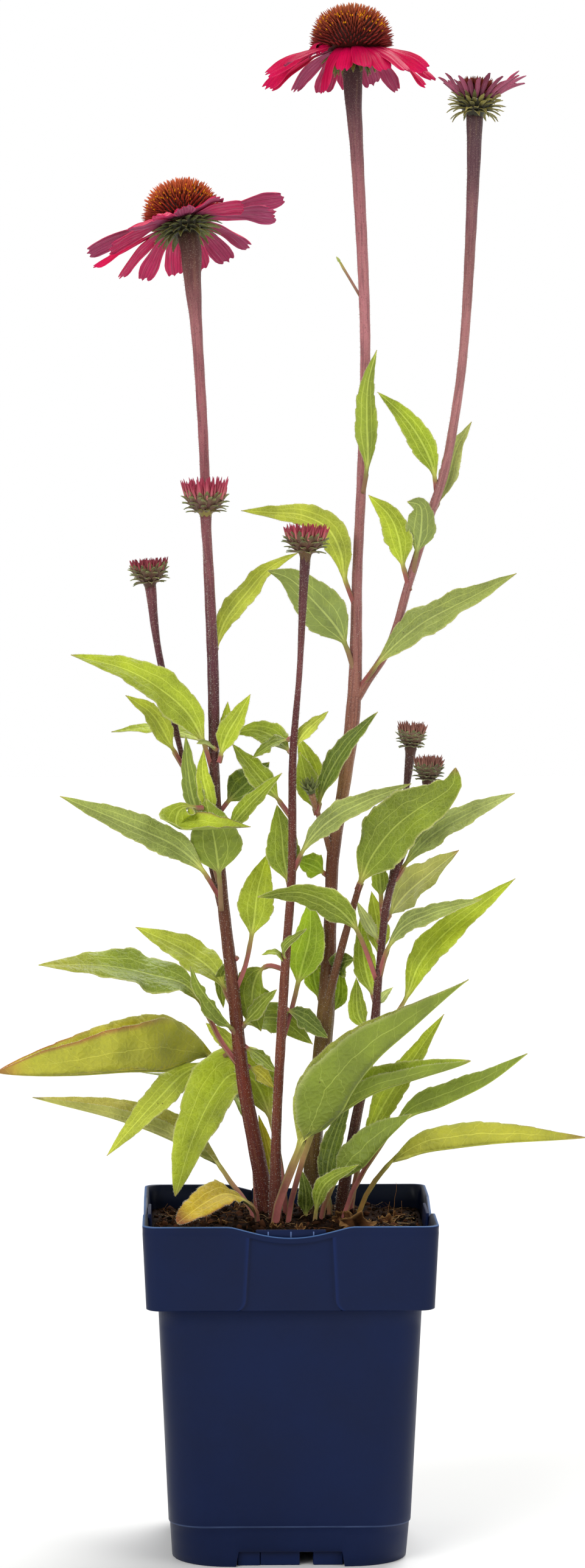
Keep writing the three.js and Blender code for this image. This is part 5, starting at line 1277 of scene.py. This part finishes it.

# %% The two open blooms
# The last paint is the lit colour that the petals' backs are painted towards, a painted light.
PETAL_PAINTS = ("84042e", "cc0048", "d40c58", "9a4064", "be2a5c")
BLOOM_SHADES = ("2a2012", "383a10", "747630")
CONE_FOOT, SPIKES, POLLEN_DOTS = 6.9, 680, 190
# For each bloom: its frame, its petals and the height they leave at, two petals that curl right over,
# its rows of bracts, and the rim, height, ring of pollen and paints of its cone.
BLOOMS = {
    "bloom_left": (
        head_frame([-45.3, -0.6, 591.6], [-0.23, 0.22, 0.95]), LEFT_PETALS, 5.95, [],
        [(13, 4.6, 0.8, 9, 2.6, -8, -58), (14, 6.2, 1.8, 9.5, 2.6, -4, -40), (16, 7.4, 2.8, 9, 2.4, 4, -28),
         (16, 8.6, 3.8, 8, 2.4, 10, -20)],
        (14, 15, 1.12, ("e07c50", "d86c40", "bc4c3a"))),
    "bloom_tall": (
        head_frame([29, 10, 668.4], [-0.02, 0.02, 1]), TALL_PETALS, 7.2,
        [(203, 17, 7, 34, -95, 40), (214, 13, 6, 40, -110, -30)],
        [(12, 4.6, 0.6, 7, 2.4, -30, -82), (14, 6.0, 1.4, 7.5, 2.4, -26, -76),
         (16, 7.4, 2.6, 7, 2.3, -20, -66), (16, 8.4, 3.6, 6, 2.2, -12, -52)],
        (15.2, 16.5, 0.96, ("d4804e", "bc5c3c", "8a302e"))),
}
CUP = [(4.7, -1.0), (4.7, 0), (6.3, 1.2), (8, 2.2), (9.4, 3.4), (10, 4.6), (4, 4.7)]
for name, (frame_of, petal_rows, petal_foot, curled, rows, (rim, dome, ring, paints)) in BLOOMS.items():
    skin = Skin()
    lathe(skin, frame_of, CUP, colour("2c2a1a"))
    bract_rows(skin, frame_of, rows, BLOOM_SHADES)
    add_piece(name + "_green", skin, bract_green, [name + "_bracts"])
    fuzz(name, skin, frame_of, 1400)
    skin = Skin()
    petals(skin, frame_of, petal_rows, 10.5, petal_foot, PETAL_PAINTS)
    for degrees, length, wide, rise, fall, twist in curled:
        strip(skin, frame_of, math.radians(degrees), 10, petal_foot + 0.6, length, wide, rise, fall, twist,
              petal_profile, lambda across, s: -0.7 * across ** 2, petal_tints(PETAL_PAINTS),
              rows=24, columns=11, notch=1.2, thick=0.4, ripple=0.8)
    add_piece(name + "_rays", skin, petal_velvet, [name + "_petals"])
    skin = Skin()
    core(skin, frame_of, rim, CONE_FOOT, dome, "3a1812")
    cone_spikes(skin, frame_of, rim - 1.4, CONE_FOOT, dome - 0.4, 5.6, SPIKES, 0.2, 0.46, "5e1c16", paints,
                pollen=(ring, POLLEN_DOTS, "f4a414"))
    add_piece(name + "_spikes", skin, spike_tissue, [name + "_cone"])

# %% The half-open bloom
half_open = head_frame([83.2, -8, 644.4], [0.06, 0, 1])
YOUNG_PETALS = 24
YOUNG_CUP = [(3.75, -1.0), (3.8, 0), (4.8, 1.4), (6.6, 3.2), (7.8, 5.2), (8.2, 6.0), (4, 6.1)]
YOUNG_BRACTS = [
    (12, 3.8, 0.9, 8, 2.3, 0, -52), (14, 5.2, 2.0, 7.5, 2.3, 16, -34), (15, 6.2, 3.2, 7, 2.2, 30, -14),
    (17, 7.0, 4.5, 6, 2.1, 48, 4), (15, 7.4, 5.8, 5, 2.0, 60, 24),
]
skin = Skin()
lathe(skin, half_open, YOUNG_CUP, colour("2c2a1a"))
bract_rows(skin, half_open, YOUNG_BRACTS, ("36260f", "524a1c", "aa9c4e"))
add_piece("bloom_half_open_green", skin, bract_green, ["bloom_half_open_bracts"])
fuzz("bloom_half_open", skin, half_open, 1200)


def young_profile(s):
    """Half width along a petal that is still rolled."""
    return np.interp(s, [0, 0.3, 0.8, 1], [0.6, 1.0, 0.9, 0.35])


skin = Skin()
for k in range(YOUNG_PETALS):
    spin = 2 * math.pi * k / YOUNG_PETALS
    outward = 0.5 + 0.5 * math.cos(spin)
    length = 12.5 + 5 * outward + chance.normal(0, 1)
    rise = 52 - 8 * outward + chance.normal(0, 6)
    bright = k in (0, 1, 2, 22, 23)
    paints = ("5a2434", "c42c5a" if bright else "8a3a50", "c8587a", "84445a", "a85a74")
    strip(skin, half_open, spin, 7.2, 6.6, length, 2.0, rise, rise - 18 + chance.normal(0, 6),
          chance.normal(0, 30), young_profile, lambda across, s: 0.9 * across ** 2, petal_tints(paints),
          rows=16, columns=7, notch=0.8, thick=0.4)
add_piece("bloom_half_open_petals", skin, petal_velvet, ["bloom_half_open_rays"])
skin = Skin()
core(skin, half_open, 7.0, 8.2, 5.0, "2a0e0a")
young_tips = ("7a3a28", "84382c", "6e2c22")
cone_spikes(skin, half_open, 7.0, 8.2, 5.2, 4.6, 190, 0.5, 0.42, "3a1410", young_tips)
add_piece("bloom_half_open_spikes", skin, spike_tissue, ["bloom_half_open_disc"])

# %% [markdown]
# ## Buds
# A bud is the same head when young: a cup of overlapping bracts with short upright florets crowded
# on top, rosy on the plant's left side and paler and browner on the shaded right.

# %% The buds
# For each bud: its place, tilt, radius and length of florets, and the paints of its florets (foot and
# tip), of its bracts (foot, body and margin) and of the flare below them.
BUD_FLORETS = 150
BROWN_BUD = ("a87c6c", "84564c"), ("7c5850", "3c4c26", "868c5c"), "4e322a"
BUD_BRACTS = [
    (9, 0.34, 1.0, 5.6, 2.4, 16, -14), (9, 0.46, 1.9, 6.0, 2.8, 44, -16), (11, 0.62, 3.3, 5.6, 3.2, 56, 0),
    (12, 0.74, 4.6, 5.4, 3.2, 66, 26), (13, 0.82, 5.8, 4.8, 3.0, 76, 58),
]
BUDS = {
    "bud_upper_left": ([-37, -17, 466.4], -0.02, 9.6, 8.2, ("d48484", "a83452"),
        ("744a44", "4c5628", "8c9254"), "8a7c3c"),
    "bud_middle": ([7.6, -12, 448.4], 0.03, 9.4, 6.0, ("d4867e", "9c304a"),
        ("6a3e38", "444e24", "868c50"), "5c4428"),
    "bud_far_left": ([-62.1, 20, 434.4], -0.08, 8.4, 4.6, ("a8605c", "883444"),
        ("6c423c", "4c522a", "8e9258"), "4c3026"),
    "bud_right_upper": ([55.7, 7, 360.4], 0.06, 6.2, 4.8, *BROWN_BUD),
    "bud_right_lower": ([62.8, -8, 346.2], 0.05, 6.4, 4.8, *BROWN_BUD),
}


def bud_green(skin, frame_of, radius, greens, flare):
    """The flare at the stem's head, the cup, and five rows of bracts round it."""
    neck = [(2.1, -4.4), (2.45, -1.2), (2.8, 0), (radius * 0.4, 1.2), (radius * 0.54, 2.4)]
    cup = [(radius * share, height) for share, height in ((0.4, 1.5), (0.66, 3.6), (0.8, 5.6), (0.84, 6.6))]
    lathe(skin, frame_of, neck, colour(flare))
    lathe(skin, frame_of, [*cup, (2, 6.7)], colour(greens[0]) * 0.7)
    rows = [(count, radius * share, height, length * radius / 9.4, *rest)
            for count, share, height, length, *rest in BUD_BRACTS]
    bract_rows(skin, frame_of, rows, greens, (0.5, 0.82))


def bud_florets(skin, frame_of, radius, length, pinks):
    """Upright florets in the golden spiral, crowded over the cup."""
    number = np.arange(BUD_FLORETS)
    reach = np.sqrt((number + 0.5) / BUD_FLORETS)
    dome = 1.6 * np.sqrt(1 - 0.98 * reach ** 2)
    turn = number * GOLDEN
    ball = np.stack([reach * np.cos(turn), reach * np.sin(turn), 0 * reach], -1)
    feet = ball * radius * 0.86 + np.array([0, 0, 1]) * (6.2 + dome)[:, None]
    ways = ball * 0.36 + [0, 0, 1.0] + chance.normal(0, 0.07, (BUD_FLORETS, 3))
    low, high = (np.tile(colour(code), (BUD_FLORETS, 1)) * chance.uniform(0.7, 1.25, (BUD_FLORETS, 1))
                 for code in pinks)
    tall = (length + 0.6 - dome) * chance.uniform(0.6, 1.3, BUD_FLORETS)
    wides = np.full(BUD_FLORETS, 0.52 * (radius / 9.4) + 0.14)
    spikes(skin, frame_of, feet, ways, tall, wides, low, high)


for name, (at, tilt, radius, length, pinks, greens, flare) in BUDS.items():
    frame_of = head_frame(at, [tilt, 0, 1])
    skin = Skin()
    bud_green(skin, frame_of, radius, greens, flare)
    add_piece(name + "_green", skin, bract_green, [name + "_bracts"])
    fuzz(name, skin, frame_of, 900)
    skin = Skin()
    core(skin, frame_of, radius * 0.84, 6.4, 1.8, greens[0])
    bud_florets(skin, frame_of, radius, length, pinks)
    add_piece(name + "_spikes", skin, spike_tissue, [name + "_florets"])

# %% The smallest bud
tiny = head_frame([10.2, -6.8, 341.8], [-0.15, -0.3, 1])
TINY_BRACTS = [(8, 1.2, 0.6, 4.5, 1.6, 30, 60), (9, 1.8, 1.8, 4.5, 1.6, 50, 80),
               (7, 1.2, 3.4, 3.5, 1.4, 70, 88)]
skin = Skin()
core(skin, tiny, 2.2, 0.2, 4.4, "4a5024")
bract_rows(skin, tiny, TINY_BRACTS, ("3c3c1e", "59602f", "7f8646"))
add_piece("bud_tiny_green", skin, bract_green, ["bud_tiny"])

# %% [markdown]
# ## The pot
# The pot is thin moulded plastic with a broad collar. Along each side the rim dips, and under the
# dip the collar's face is sunk between two raised ends. A boolean cut would give hard, sharp edges;
# here the rows of the skin follow the dip and the columns follow the sunk panel's edges, so the
# same closed skin bends round every one of them, like the mould does.

# %% Columns around the pot and rows over its wall
POT_WIDTH, POT_HEIGHT, COLLAR_FOOT = 131.0, 154.0, 116.0
DIP_HALF, DIP_DEPTH, LIP = 27.0, 4.9, 3.0
PANEL_HALF, PANEL_DEPTH, PANEL_CORNER = 18.0, 1.4, 5
NOTCH_HALF, NOTCH_TOP = 23.5, 6.6
CORNER_STEPS = 9
INNER = 24.5


def side_columns():
    """Columns over one side: millimetres from its middle, and from INNER on shares of the rest."""
    inner = [0, 3, 6, 9, 12, 15, 17.2, 17.85, 18.15, 18.7, 20, 22, 23.0, 24.1, INNER]
    outer = [0.04, 0.1, 0.2, 0.35, 0.5, 0.65, 0.8, 0.9, 1.0]
    right = [(x, 0.0) for x in inner] + [(INNER, share) for share in outer]
    return [(-x, -share) for x, share in right[:0:-1]] + right


def pot_ring(height, half, corner, panel=0.0):
    """A ring round the pot. height: a number, or a function of x; panel: how far its middle is sunk."""
    height_at = height if callable(height) else lambda x: height
    ring = []
    for quarter in range(4):
        turn = quarter * math.pi / 2
        to_place = np.array([[math.cos(turn), -math.sin(turn)], [math.sin(turn), math.cos(turn)]])
        end = half - corner
        for x, share in side_columns():
            if share:
                x = math.copysign(INNER, x) + share * (end - INNER)
            z = height_at(x)
            if panel and x:
                pull = np.interp(abs(x), [0, 17.2, 18.7, INNER, 40], [0, 1, 1, 1, 0])
                x += math.copysign((panel_edge(z) - PANEL_HALF) * pull, x)
            sunk = panel if abs(x) < panel_edge(z) else 0.0
            px, py = to_place @ [x, -(half - sunk)]
            ring.append((px, py, z))
        for k in range(1, CORNER_STEPS):
            angle = -math.pi / 2 + k / CORNER_STEPS * math.pi / 2
            px, py = to_place @ [end + corner * math.cos(angle), -end + corner * math.sin(angle)]
            ring.append((px, py, height_at(end)))
    return np.array(ring)


def panel_edge(z):
    """Half width of the sunk panel at a height: it opens out at the collar's foot, round a corner."""
    over = (z - COLLAR_FOOT) / (POT_HEIGHT - COLLAR_FOOT)
    below = max(0.0, (COLLAR_FOOT + PANEL_CORNER - z) / PANEL_CORNER)
    rounding = PANEL_CORNER * (1 - math.sqrt(max(0.0, 1 - below ** 2)))
    return PANEL_HALF + 2.0 * (1 - over) + min(rounding, 4.6)


def rim_at(x):
    """Height of the rim at a place along a side."""
    dip = math.cos(math.pi * x / (2 * DIP_HALF)) if abs(x) < DIP_HALF else 0.0
    return POT_HEIGHT - DIP_DEPTH * max(dip, 0.0) ** 1.15


def foot_at(x):
    """Height of the lower edge: the middle of each side is cut away."""
    return NOTCH_TOP if abs(x) < NOTCH_HALF else 0.0


def collar_half(z):
    """Half width of the collar at a height."""
    return POT_WIDTH / 2 - 1.8 * (POT_HEIGHT - z) / (POT_HEIGHT - COLLAR_FOOT)


print("columns over one side:", len(side_columns()))

# %% The rings of the pot, from the middle of its floor out, up the wall and down inside
FLOOR_FOOT, FLOOR_TOP, STEP_FOOT, STEP_TOP = 7, 10, 17.6, 18.4
RIM_HALF = 65.3
rings = [pot_ring(FLOOR_FOOT, half, min(22, half * 0.45)) for half in (20, 45, 49.5)]
rings += [
    pot_ring(lambda x: foot_at(x) + 0.4 * (foot_at(x) == 0), 50.6, 24), pot_ring(foot_at, 51.2, 24.5),
    pot_ring(foot_at, 52.1, 25.5), pot_ring(lambda x: foot_at(x) + 0.4, 52.55, 26),
]
for share in (0.25, 0.5, 0.75, 0.97):
    rising = lambda x: foot_at(x) + 0.4 + share * (STEP_FOOT - foot_at(x))
    rings.append(pot_ring(rising, 52.55 + 0.95 * share, 26 - 9 * share))
rings += [pot_ring(18.05, 53.95, 17), pot_ring(18.5, 54.1, 17)]
for share in np.linspace(0.04, 1, 12):
    rings.append(pot_ring(STEP_TOP + share * (COLLAR_FOOT - STEP_TOP), 54.1 + 4.4 * share, 17 - 6 * share))
foot_rows = len(rings)
rings += [pot_ring(COLLAR_FOOT + 0.35, 60.5, 8), pot_ring(COLLAR_FOOT + 0.3, 63.1, 6.2, PANEL_DEPTH * 0.6)]
for share in (0.012, 0.03, 0.06, 0.1, 0.16, 0.3, 0.45, 0.6, 0.75, 0.87, 0.95, 0.985):
    rising = lambda x: COLLAR_FOOT + 0.3 + share * (rim_at(x) - LIP - COLLAR_FOOT - 0.3)
    rings.append(pot_ring(rising, collar_half(COLLAR_FOOT + share * 35), 6, PANEL_DEPTH))
rings.append(pot_ring(lambda x: rim_at(x) - LIP + 0.05, RIM_HALF, 6, PANEL_DEPTH))
for drop, out in ((LIP - 0.35, 0), (2.0, 0), (1.2, 0.05), (0.5, 0.1), (0.12, 0), (0, -0.3), (0, -1.3),
                  (0.25, -1.9)):
    rings.append(pot_ring(lambda x: rim_at(x) - drop, RIM_HALF + out, 6))
for inside in (146, 138, 119):
    rings.append(pot_ring(lambda x: min(inside, rim_at(x) - 1), collar_half(inside) - 2.4, 4))
rings += [pot_ring(115, 56.5, 9), pot_ring(60, 54, 15), pot_ring(10.5, 51.2, 21.5)]
rings += [pot_ring(FLOOR_TOP, 50.2, 21), pot_ring(FLOOR_TOP, 20, 9)]
print("rings of the pot:", len(rings))

# %% The pot's skin
# The rim's outer edge is painted pale as a highlight, a thin painted highlight runs along each edge of the
# sunk panel, and the inside of the pot is painted darker as shade.
PANEL_ROWS, RIM_ROWS = range(2, 15), (19, 20)
pot_skin = Skin()
places = len(rings[0])
top_shade, rim_painted_highlight, panel_painted_highlight, inside_painted_shade = (
    colour(code) for code in ("06163a", "4a6a9c", "0a1d49", "030c24"))
on_edge = [abs(abs(x) - 18.4) < 0.4 and not share for x, share in side_columns()]
on_edge = np.tile(on_edge + [False] * (CORNER_STEPS - 1), 4)
tints = []
for row in range(-foot_rows, len(rings) - foot_rows):
    # Painted highlight on the rim's edge rows, painted shade on the rows inside the pot.
    shade = rim_painted_highlight if row in RIM_ROWS else inside_painted_shade if row > RIM_ROWS[-1] else top_shade
    tint = np.tile(shade, (places, 1))
    # Painted highlight along the edges of the sunk panel.
    if row in PANEL_ROWS:
        tint[on_edge] = panel_painted_highlight
    tints.append(tint)
pot_skin.add(np.array(rings), tube_faces(len(rings), places), np.array(tints))
print("points of the pot:", pot_skin.count)

# %% [markdown]
# ## The pot's tabs and pad
# Behind each dip stands a small tab with rounded corners and three short raised marks for a label,
# and a slotted pad under the floor carries the middle of the pot, with arms that show behind the
# notches of the foot. They are small blocks with rounded edges, placed on all four sides by a
# quarter turn.

# %% Rounded blocks
def rounded_block(skin, low, high, turn, rounding, tint, lean=0.0):
    """A block with all its edges rounded off, turned about the pot's axis."""
    low, high = np.array(low, float), np.array(high, float)
    middle, reach = (low + high) / 2, (high - low) / 2
    latitudes = np.radians([-90, -60, -30, 0, 0, 30, 60, 90])
    rings = []
    for latitude, h in zip(latitudes, (-1, -1, -1, -1, 1, 1, 1, 1)):
        r = rounding * math.cos(latitude)
        z = h * (reach[2] - rounding) + rounding * math.sin(latitude)
        for quarter, (cx, cy) in enumerate(((1, 1), (-1, 1), (-1, -1), (1, -1))):
            for part in range(4):
                angle = quarter * math.pi / 2 + part / 3 * math.pi / 2
                rings.append(middle + [cx * (reach[0] - rounding) + r * math.cos(angle),
                                       cy * (reach[1] - rounding) + r * math.sin(angle), z])
    points = np.array(rings).reshape(-1, 3)
    points[:, 1] -= (points[:, 2] - low[2]) * lean
    c, s = math.cos(turn), math.sin(turn)
    points = points @ np.array([[c, s, 0], [-s, c, 0], [0, 0, 1]])
    skin.add(points, tube_faces(8, 16), tint)


TAB_LEAN = 0.047
for quarter in range(4):
    turn = quarter * math.pi / 2
    rounded_block(pot_skin, [-15.5, -62.9, 143.6], [15.5, -61.5, 152.4], turn, 0.5, top_shade * 1.1, TAB_LEAN)
    for x in (-10, 0, 10):
        low, high = [x - 0.3, -63.25, 148.6], [x + 0.3, -62.7, 151.6]
        rounded_block(pot_skin, low, high, turn, 0.15, colour("5a6f9c"), TAB_LEAN)
    # Painted light: the arms behind the notches are painted a quarter lighter than the pot, against the shade
    # in the notches.
    for low, high, front, back in (
            (-23.4, -13.5, -49.7, -44), (-13.3, 4.2, -49.2, -13), (10.2, 23.4, -49.2, -44)):
        rounded_block(pot_skin, [low, front, 0.05], [high, back, 7.4], turn, 0.4, top_shade * 1.25)
for low, high in ((-12, -8.5), (-5.5, 5.5), (8.5, 12)):
    rounded_block(pot_skin, [low, -12, 0.0], [high, 12, 7.4], 0, 0.5, top_shade)
print("points with tabs, marks and pad:", pot_skin.count)

# %% Material: moulded plastic
# Dark blue plastic with a satin grain from the mould. Its gloss and shade change a little from place
# to place, and a thin worn line runs along the step above the foot, where two moulds met.
STEP_LINE = 0.0182  # metres up
pot_plastic, tree, surface = new_material("pot_plastic")
spot = own_place(tree)
clouds = {"Vector": spot, "Scale": 22.0, "Detail": 5.0, "Roughness": 0.6}
broad = place(tree, "TexNoise", clouds).outputs["Fac"]
drawn_out = place(tree, "Mapping", {"Vector": spot, "Scale": (30.0, 30.0, 420.0)}).outputs[0]
height = place(tree, "SeparateXYZ", [spot]).outputs[2]
line = fade(tree, size_of(tree, minus(tree, height, STEP_LINE)), 0.0002, 0.0006, 1, 0)
worn = times(tree, line, fade(tree, noise(tree, drawn_out, 3.0, 6.0), 0.3, 0.7, 0.5, 1))
shade = scaled(tree, mark(tree, "tint"), fade(tree, broad, 0.25, 0.75, 0.88, 1.14))
finish(tree, surface, {
    "Base Color": mixed(tree, times(tree, worn, 0.3), shade, paint("6478a4")),
    "Roughness": fade(tree, broad, 0.3, 0.7, 0.36, 0.5), "Specular IOR Level": 0.16})
lean_on(tree, surface, noise(tree, spot, 2600.0), 0.12, 0.0002)
add_piece("pot_shell", pot_skin, pot_plastic, ["pot"])

# %% [markdown]
# ## Soil
# Potting peat is dark and crumbly, with tan fibres and fine roots on top. The ground is a height
# field, and the crumbs are some hundreds of small lumps pressed into it. Displacement in the
# material alone would leave a smooth outline against the rim.

# %% The ground
def ground(x, y):
    """Height of the peat: highest in the middle, lumpy, and heaped up behind two of the stems."""
    reach = np.minimum(1, np.hypot(x, y) / 62)
    rough = 0.7 * np.sin(0.53 * x + 0.9) * np.cos(0.47 * y) + 0.5 * np.sin(0.31 * x - 0.71 * y)
    fine = 0.5 * np.sin(1.7 * x + 1.3 * np.sin(0.9 * y)) * np.sin(1.5 * y + np.sin(1.1 * x))
    fine = fine + 0.3 * np.sin(3.3 * x + 2.1 * y)
    right = 5 * np.exp(-((x - 40) ** 2 + (y - 14) ** 2) / 190)
    left = 3 * np.exp(-((x + 38) ** 2 + (y - 20) ** 2) / 160)
    return SOIL_HEIGHT + 6 * (1 - reach ** 2) + (rough + (right + left)) * (1 - reach ** 4) + 0.8 * fine


SOIL_HALF, SOIL_SKIRT = 61.8, 8
peat = Skin()
rings = []
for share in np.linspace(1, 0.06, 46):
    ring = pot_ring(0, SOIL_HALF, 4) * share
    ring[:, 2] = ground(ring[:, 0], ring[:, 1])
    rings.append(ring)
rings.insert(0, rings[0] - [0, 0, SOIL_SKIRT])
shades = chance.uniform(0.6, 1.5, (len(rings) * places, 1)) * colour("1b0f09")
peat.add(np.array(rings), tube_faces(len(rings), places), shades)
print("points of the ground:", peat.count)

# %% Crumbs
CRUMBS = 3000
CRUMB_PAINTS = ("1a0f08", "25150c", "321d10", "100905", "44291a")
upper = [(0.89, 0, 0.45), (0.28, 0.85, 0.45), (-0.72, 0.53, 0.45), (-0.72, -0.53, 0.45), (0.28, -0.85, 0.45)]
lower = [(-x, y, -z) for x, y, z in (*upper[2::-1], *upper[:2:-1])]
ball = np.array([(0, 0, 1), *upper, *lower, (0, 0, -1)])
next_to = [(1 + k, 1 + (k + 1) % 5) for k in range(5)]
ball_faces = np.array([(0, a, b) for a, b in next_to] + [(a, a + 5, b) for a, b in next_to]
                      + [(a + 5, b + 5, b) for a, b in next_to] + [(11, b + 5, a + 5) for a, b in next_to])
for _ in range(CRUMBS):
    x, y = chance.uniform(-60, 60, 2)
    size = 0.25 + 1.6 * chance.uniform(0, 1) ** 3
    lump = ball * size * chance.uniform(0.5, 1.4, 3) * chance.uniform(0.6, 1.3, (12, 1))
    code = CRUMB_PAINTS[int(chance.integers(0, len(CRUMB_PAINTS)))]
    peat.add(lump + [x, y, ground(x, y) + 0.2 * size], [ball_faces], colour(code))
soil_grain = tinted_material("soil_grain", 0.35, 700.0, 0.85, 0.6, gloss=0.05)
add_piece("peat", peat, soil_grain, ["soil"])

# %% Rootlets and fibres
THREADS = 430
THREAD_PAINTS = ("7c5632", "5c3c22", "b4966a", "442c18")
threads = Skin()
TALL_FIBRES = {(48, 4): 17, (45, -2): 9, (52, 12): 8, (-37, -10): 9, (-52, 6): 8, (-28, -20): 6}
for number in range(THREADS):
    x, y = chance.uniform(-57, 57, 2)
    if number % 3 == 0:  # one in three lies near the rim
        x = math.copysign(chance.uniform(40, 57), x)
    heading, rise = chance.uniform(0, FULL_TURN), chance.uniform(0.0, 1.0) ** 2
    point = np.array([x, y, ground(x, y) + 0.3])
    thick = 0.06 + 0.16 * chance.uniform(0, 1) ** 3
    way = [(*point, thick)]
    for k in range(6):
        heading += chance.normal(0, 0.9)
        up = 1.9 * rise * chance.uniform(-0.5, 1)
        point = point + [1.7 * math.cos(heading), 1.7 * math.sin(heading), up]
        point[:2] = np.clip(point[:2], -59, 59)
        point[2] = max(point[2], ground(*point[:2]) + 0.2)
        way.append((*point, thick * (0.9 - 0.1 * k)))
    code = THREAD_PAINTS[int(chance.integers(0, len(THREAD_PAINTS)))]
    tube(threads, way, [(0, code), (1, code)], sides=4, every=1.1, ribs=0.0)
for (x, y), tall in TALL_FIBRES.items():
    rise = np.linspace(0, 1, 6)
    sway = np.cumsum(chance.normal(0, 0.6, (6, 2)), 0) * rise[:, None]
    way = [(x + sx, y + sy, ground(x, y) + tall * r, 0.13 - 0.06 * r) for (sx, sy), r in zip(sway, rise)]
    tube(threads, way, [(0, "8c6440"), (1, "8c6440")], sides=4, every=1.0, ribs=0.0)
add_piece("rootlets", threads, soil_grain)

# %% [markdown]
# ## Litter
# A dead leaf of last season lies crumpled between the stems, with scraps of others round it. A flat
# sheet with noise looks like paper; here each sheet is rolled, folded and dented in turn, and its
# torn edge is left paler than its face.

# %% Crumpled scraps
BROWN_SCRAP = ("2a180e", "5a3a20", "a07a4c")


def scrap(skin, at, size, turn, stand):
    """A crumpled scrap of dead leaf. stand: degrees that it stands up from the soil."""
    u, v = np.meshgrid(np.linspace(-1, 1, 13), np.linspace(-1, 1, 13), indexing="ij")
    ragged = 1 + 0.16 * np.sin(5 * np.arctan2(v, u) + turn) + 0.08 * np.sin(11 * np.arctan2(v, u))
    x, y = u * np.sqrt(1 - v ** 2 / 2) * ragged, v * np.sqrt(1 - u ** 2 / 2) * ragged * 0.7
    first, second, third = chance.uniform(0, 6.3, 3)
    dent = 0.3 * np.sin(4.1 * x + first) * np.cos(3.3 * y + second) + 0.14 * np.sin(9 * x + 7 * y + third)
    roll = 1.5 * y
    points = np.stack([x, np.sin(roll) / 1.5, (1 - np.cos(roll)) / 1.5 + dent], -1) * size
    lift, spin = math.radians(stand), math.radians(turn)
    c, s = math.cos(lift), math.sin(lift)
    points = points @ np.array([[1, 0, 0], [0, c, s], [0, -s, c]])
    c, s = math.cos(spin), math.sin(spin)
    points = points @ np.array([[c, s, 0], [-s, c, 0], [0, 0, 1]])
    points = points + [*at, ground(*at) + 0.45 * size * math.sin(lift)]
    edge = step(np.maximum(abs(u), abs(v)), 0.7, 1.0)[..., None]
    dark, light, torn_edge = (colour(code) for code in BROWN_SCRAP)
    # Painted shade and light: each scrap is painted darker in its dents and lighter on its raised crumples.
    tint = blend(blend(dark, light, step(dent, -0.2, 0.35)[..., None]), torn_edge, edge * 0.7)
    sheet, tints = (np.concatenate([above, below[:, ::-1]], 1) for above, below in (
        (points, points - [0, 0.12, 0.3]), (tint, tint)))
    skin.add(sheet, sheet_faces(13, 13), tints)


litter = Skin()
SCRAPS = [
    ((30, -27), 8.0, 20, 62), ((24, -14), 5.5, -40, 50), ((37, -19), 4.5, 75, 40), ((44, -4), 4.0, 10, 30),
    ((50, 10), 3.5, 50, 20), ((-30, -12), 3.5, 120, 25), ((-46, 12), 4.0, 15, 30), ((5, -34), 3.2, 60, 20),
    ((-6, -28), 3.0, 160, 35), ((16, 22), 4.5, 35, 30), ((-22, 26), 4.0, 80, 25),
]
for at, size, turn, stand in SCRAPS:
    scrap(litter, at, size, turn, stand)
add_piece("litter", litter, soil_grain)

# %% [markdown]
# ## Stage, lights and camera
# The plant stands on a plain pale floor in soft light: a wide light from the front left, a weaker
# one from the front right, a strong one from behind, which makes the leaves glow, and an even pale
# sky. The camera stands far off with a long lens, a little above the middle of the plant, so that
# the stems stay straight and the rim of the pot is seen just from above.

# %% Floor
floor = bpy.data.objects.new("floor", bpy.data.meshes.new("floor"))
floor.data.from_pydata([(-6, -6, 0), (6, -6, 0), (6, 6, 0), (-6, 6, 0)], [], [(0, 1, 2, 3)])
bpy.context.scene.collection.objects.link(floor)
pale_floor, tree, surface = new_material("pale_floor")
haze = noise(tree, own_place(tree), 1.5)
finish(tree, surface, {"Base Color": mixed(tree, haze, paint("f3f3f1"), paint("f8f8f7")), "Roughness": 0.7})
floor.data.materials.append(pale_floor)
print("floor:", floor.name)

# %% Lights
scene = bpy.context.scene
scene.view_settings.view_transform = "Standard"
world = bpy.data.worlds.new("studio")
scene.world = world
world.use_nodes = True
tree = world.node_tree
sky = tree.nodes["Background"].inputs
seen = place(tree, "LightPath").outputs["Is Camera Ray"]
finish(tree, sky, {"Color": (1.0, 1.0, 1.0, 1), "Strength": fade(tree, seen, 0, 1, 0.42, 1)})


def aim(thing, at, towards):
    """Puts a light or the camera at a place, looking towards another."""
    thing.location = at
    thing.rotation_euler = (Vector(towards) - Vector(at)).to_track_quat("-Z", "Y").to_euler()


def soft_light(name, at, width, power):
    """A wide, far light that falls evenly over plant and floor."""
    light = bpy.data.lights.new(name, "SUN")
    light.angle = math.radians(width)
    light.energy = power
    thing = bpy.data.objects.new(name, light)
    scene.collection.objects.link(thing)
    aim(thing, at, (0, 0, 0))


soft_light("light_front_left", (-1.2, -1.6, 1.3), 35, 1.35)
soft_light("light_front_right", (1.6, -1.2, 0.9), 40, 0.7)
soft_light("light_behind", (0.5, 1.2, 1.7), 40, 2.2)
print("lights:", len(bpy.data.lights))

# %% Camera
camera = bpy.data.cameras.new("camera")
viewer = bpy.data.objects.new("camera", camera)
scene.collection.objects.link(viewer)
IMAGE_HEIGHT, FOCAL_PIXELS, SENSOR = 2576, 7670, 36.0
camera.sensor_fit = "VERTICAL"
camera.sensor_height = camera.sensor_width = SENSOR
camera.lens = FOCAL_PIXELS / IMAGE_HEIGHT * SENSOR
aim(viewer, (-0.045, -2.1, 0.47), (0.0021, 0.0, 0.345))
bpy.context.scene.camera = viewer
print("lens:", round(camera.lens, 1), "mm")
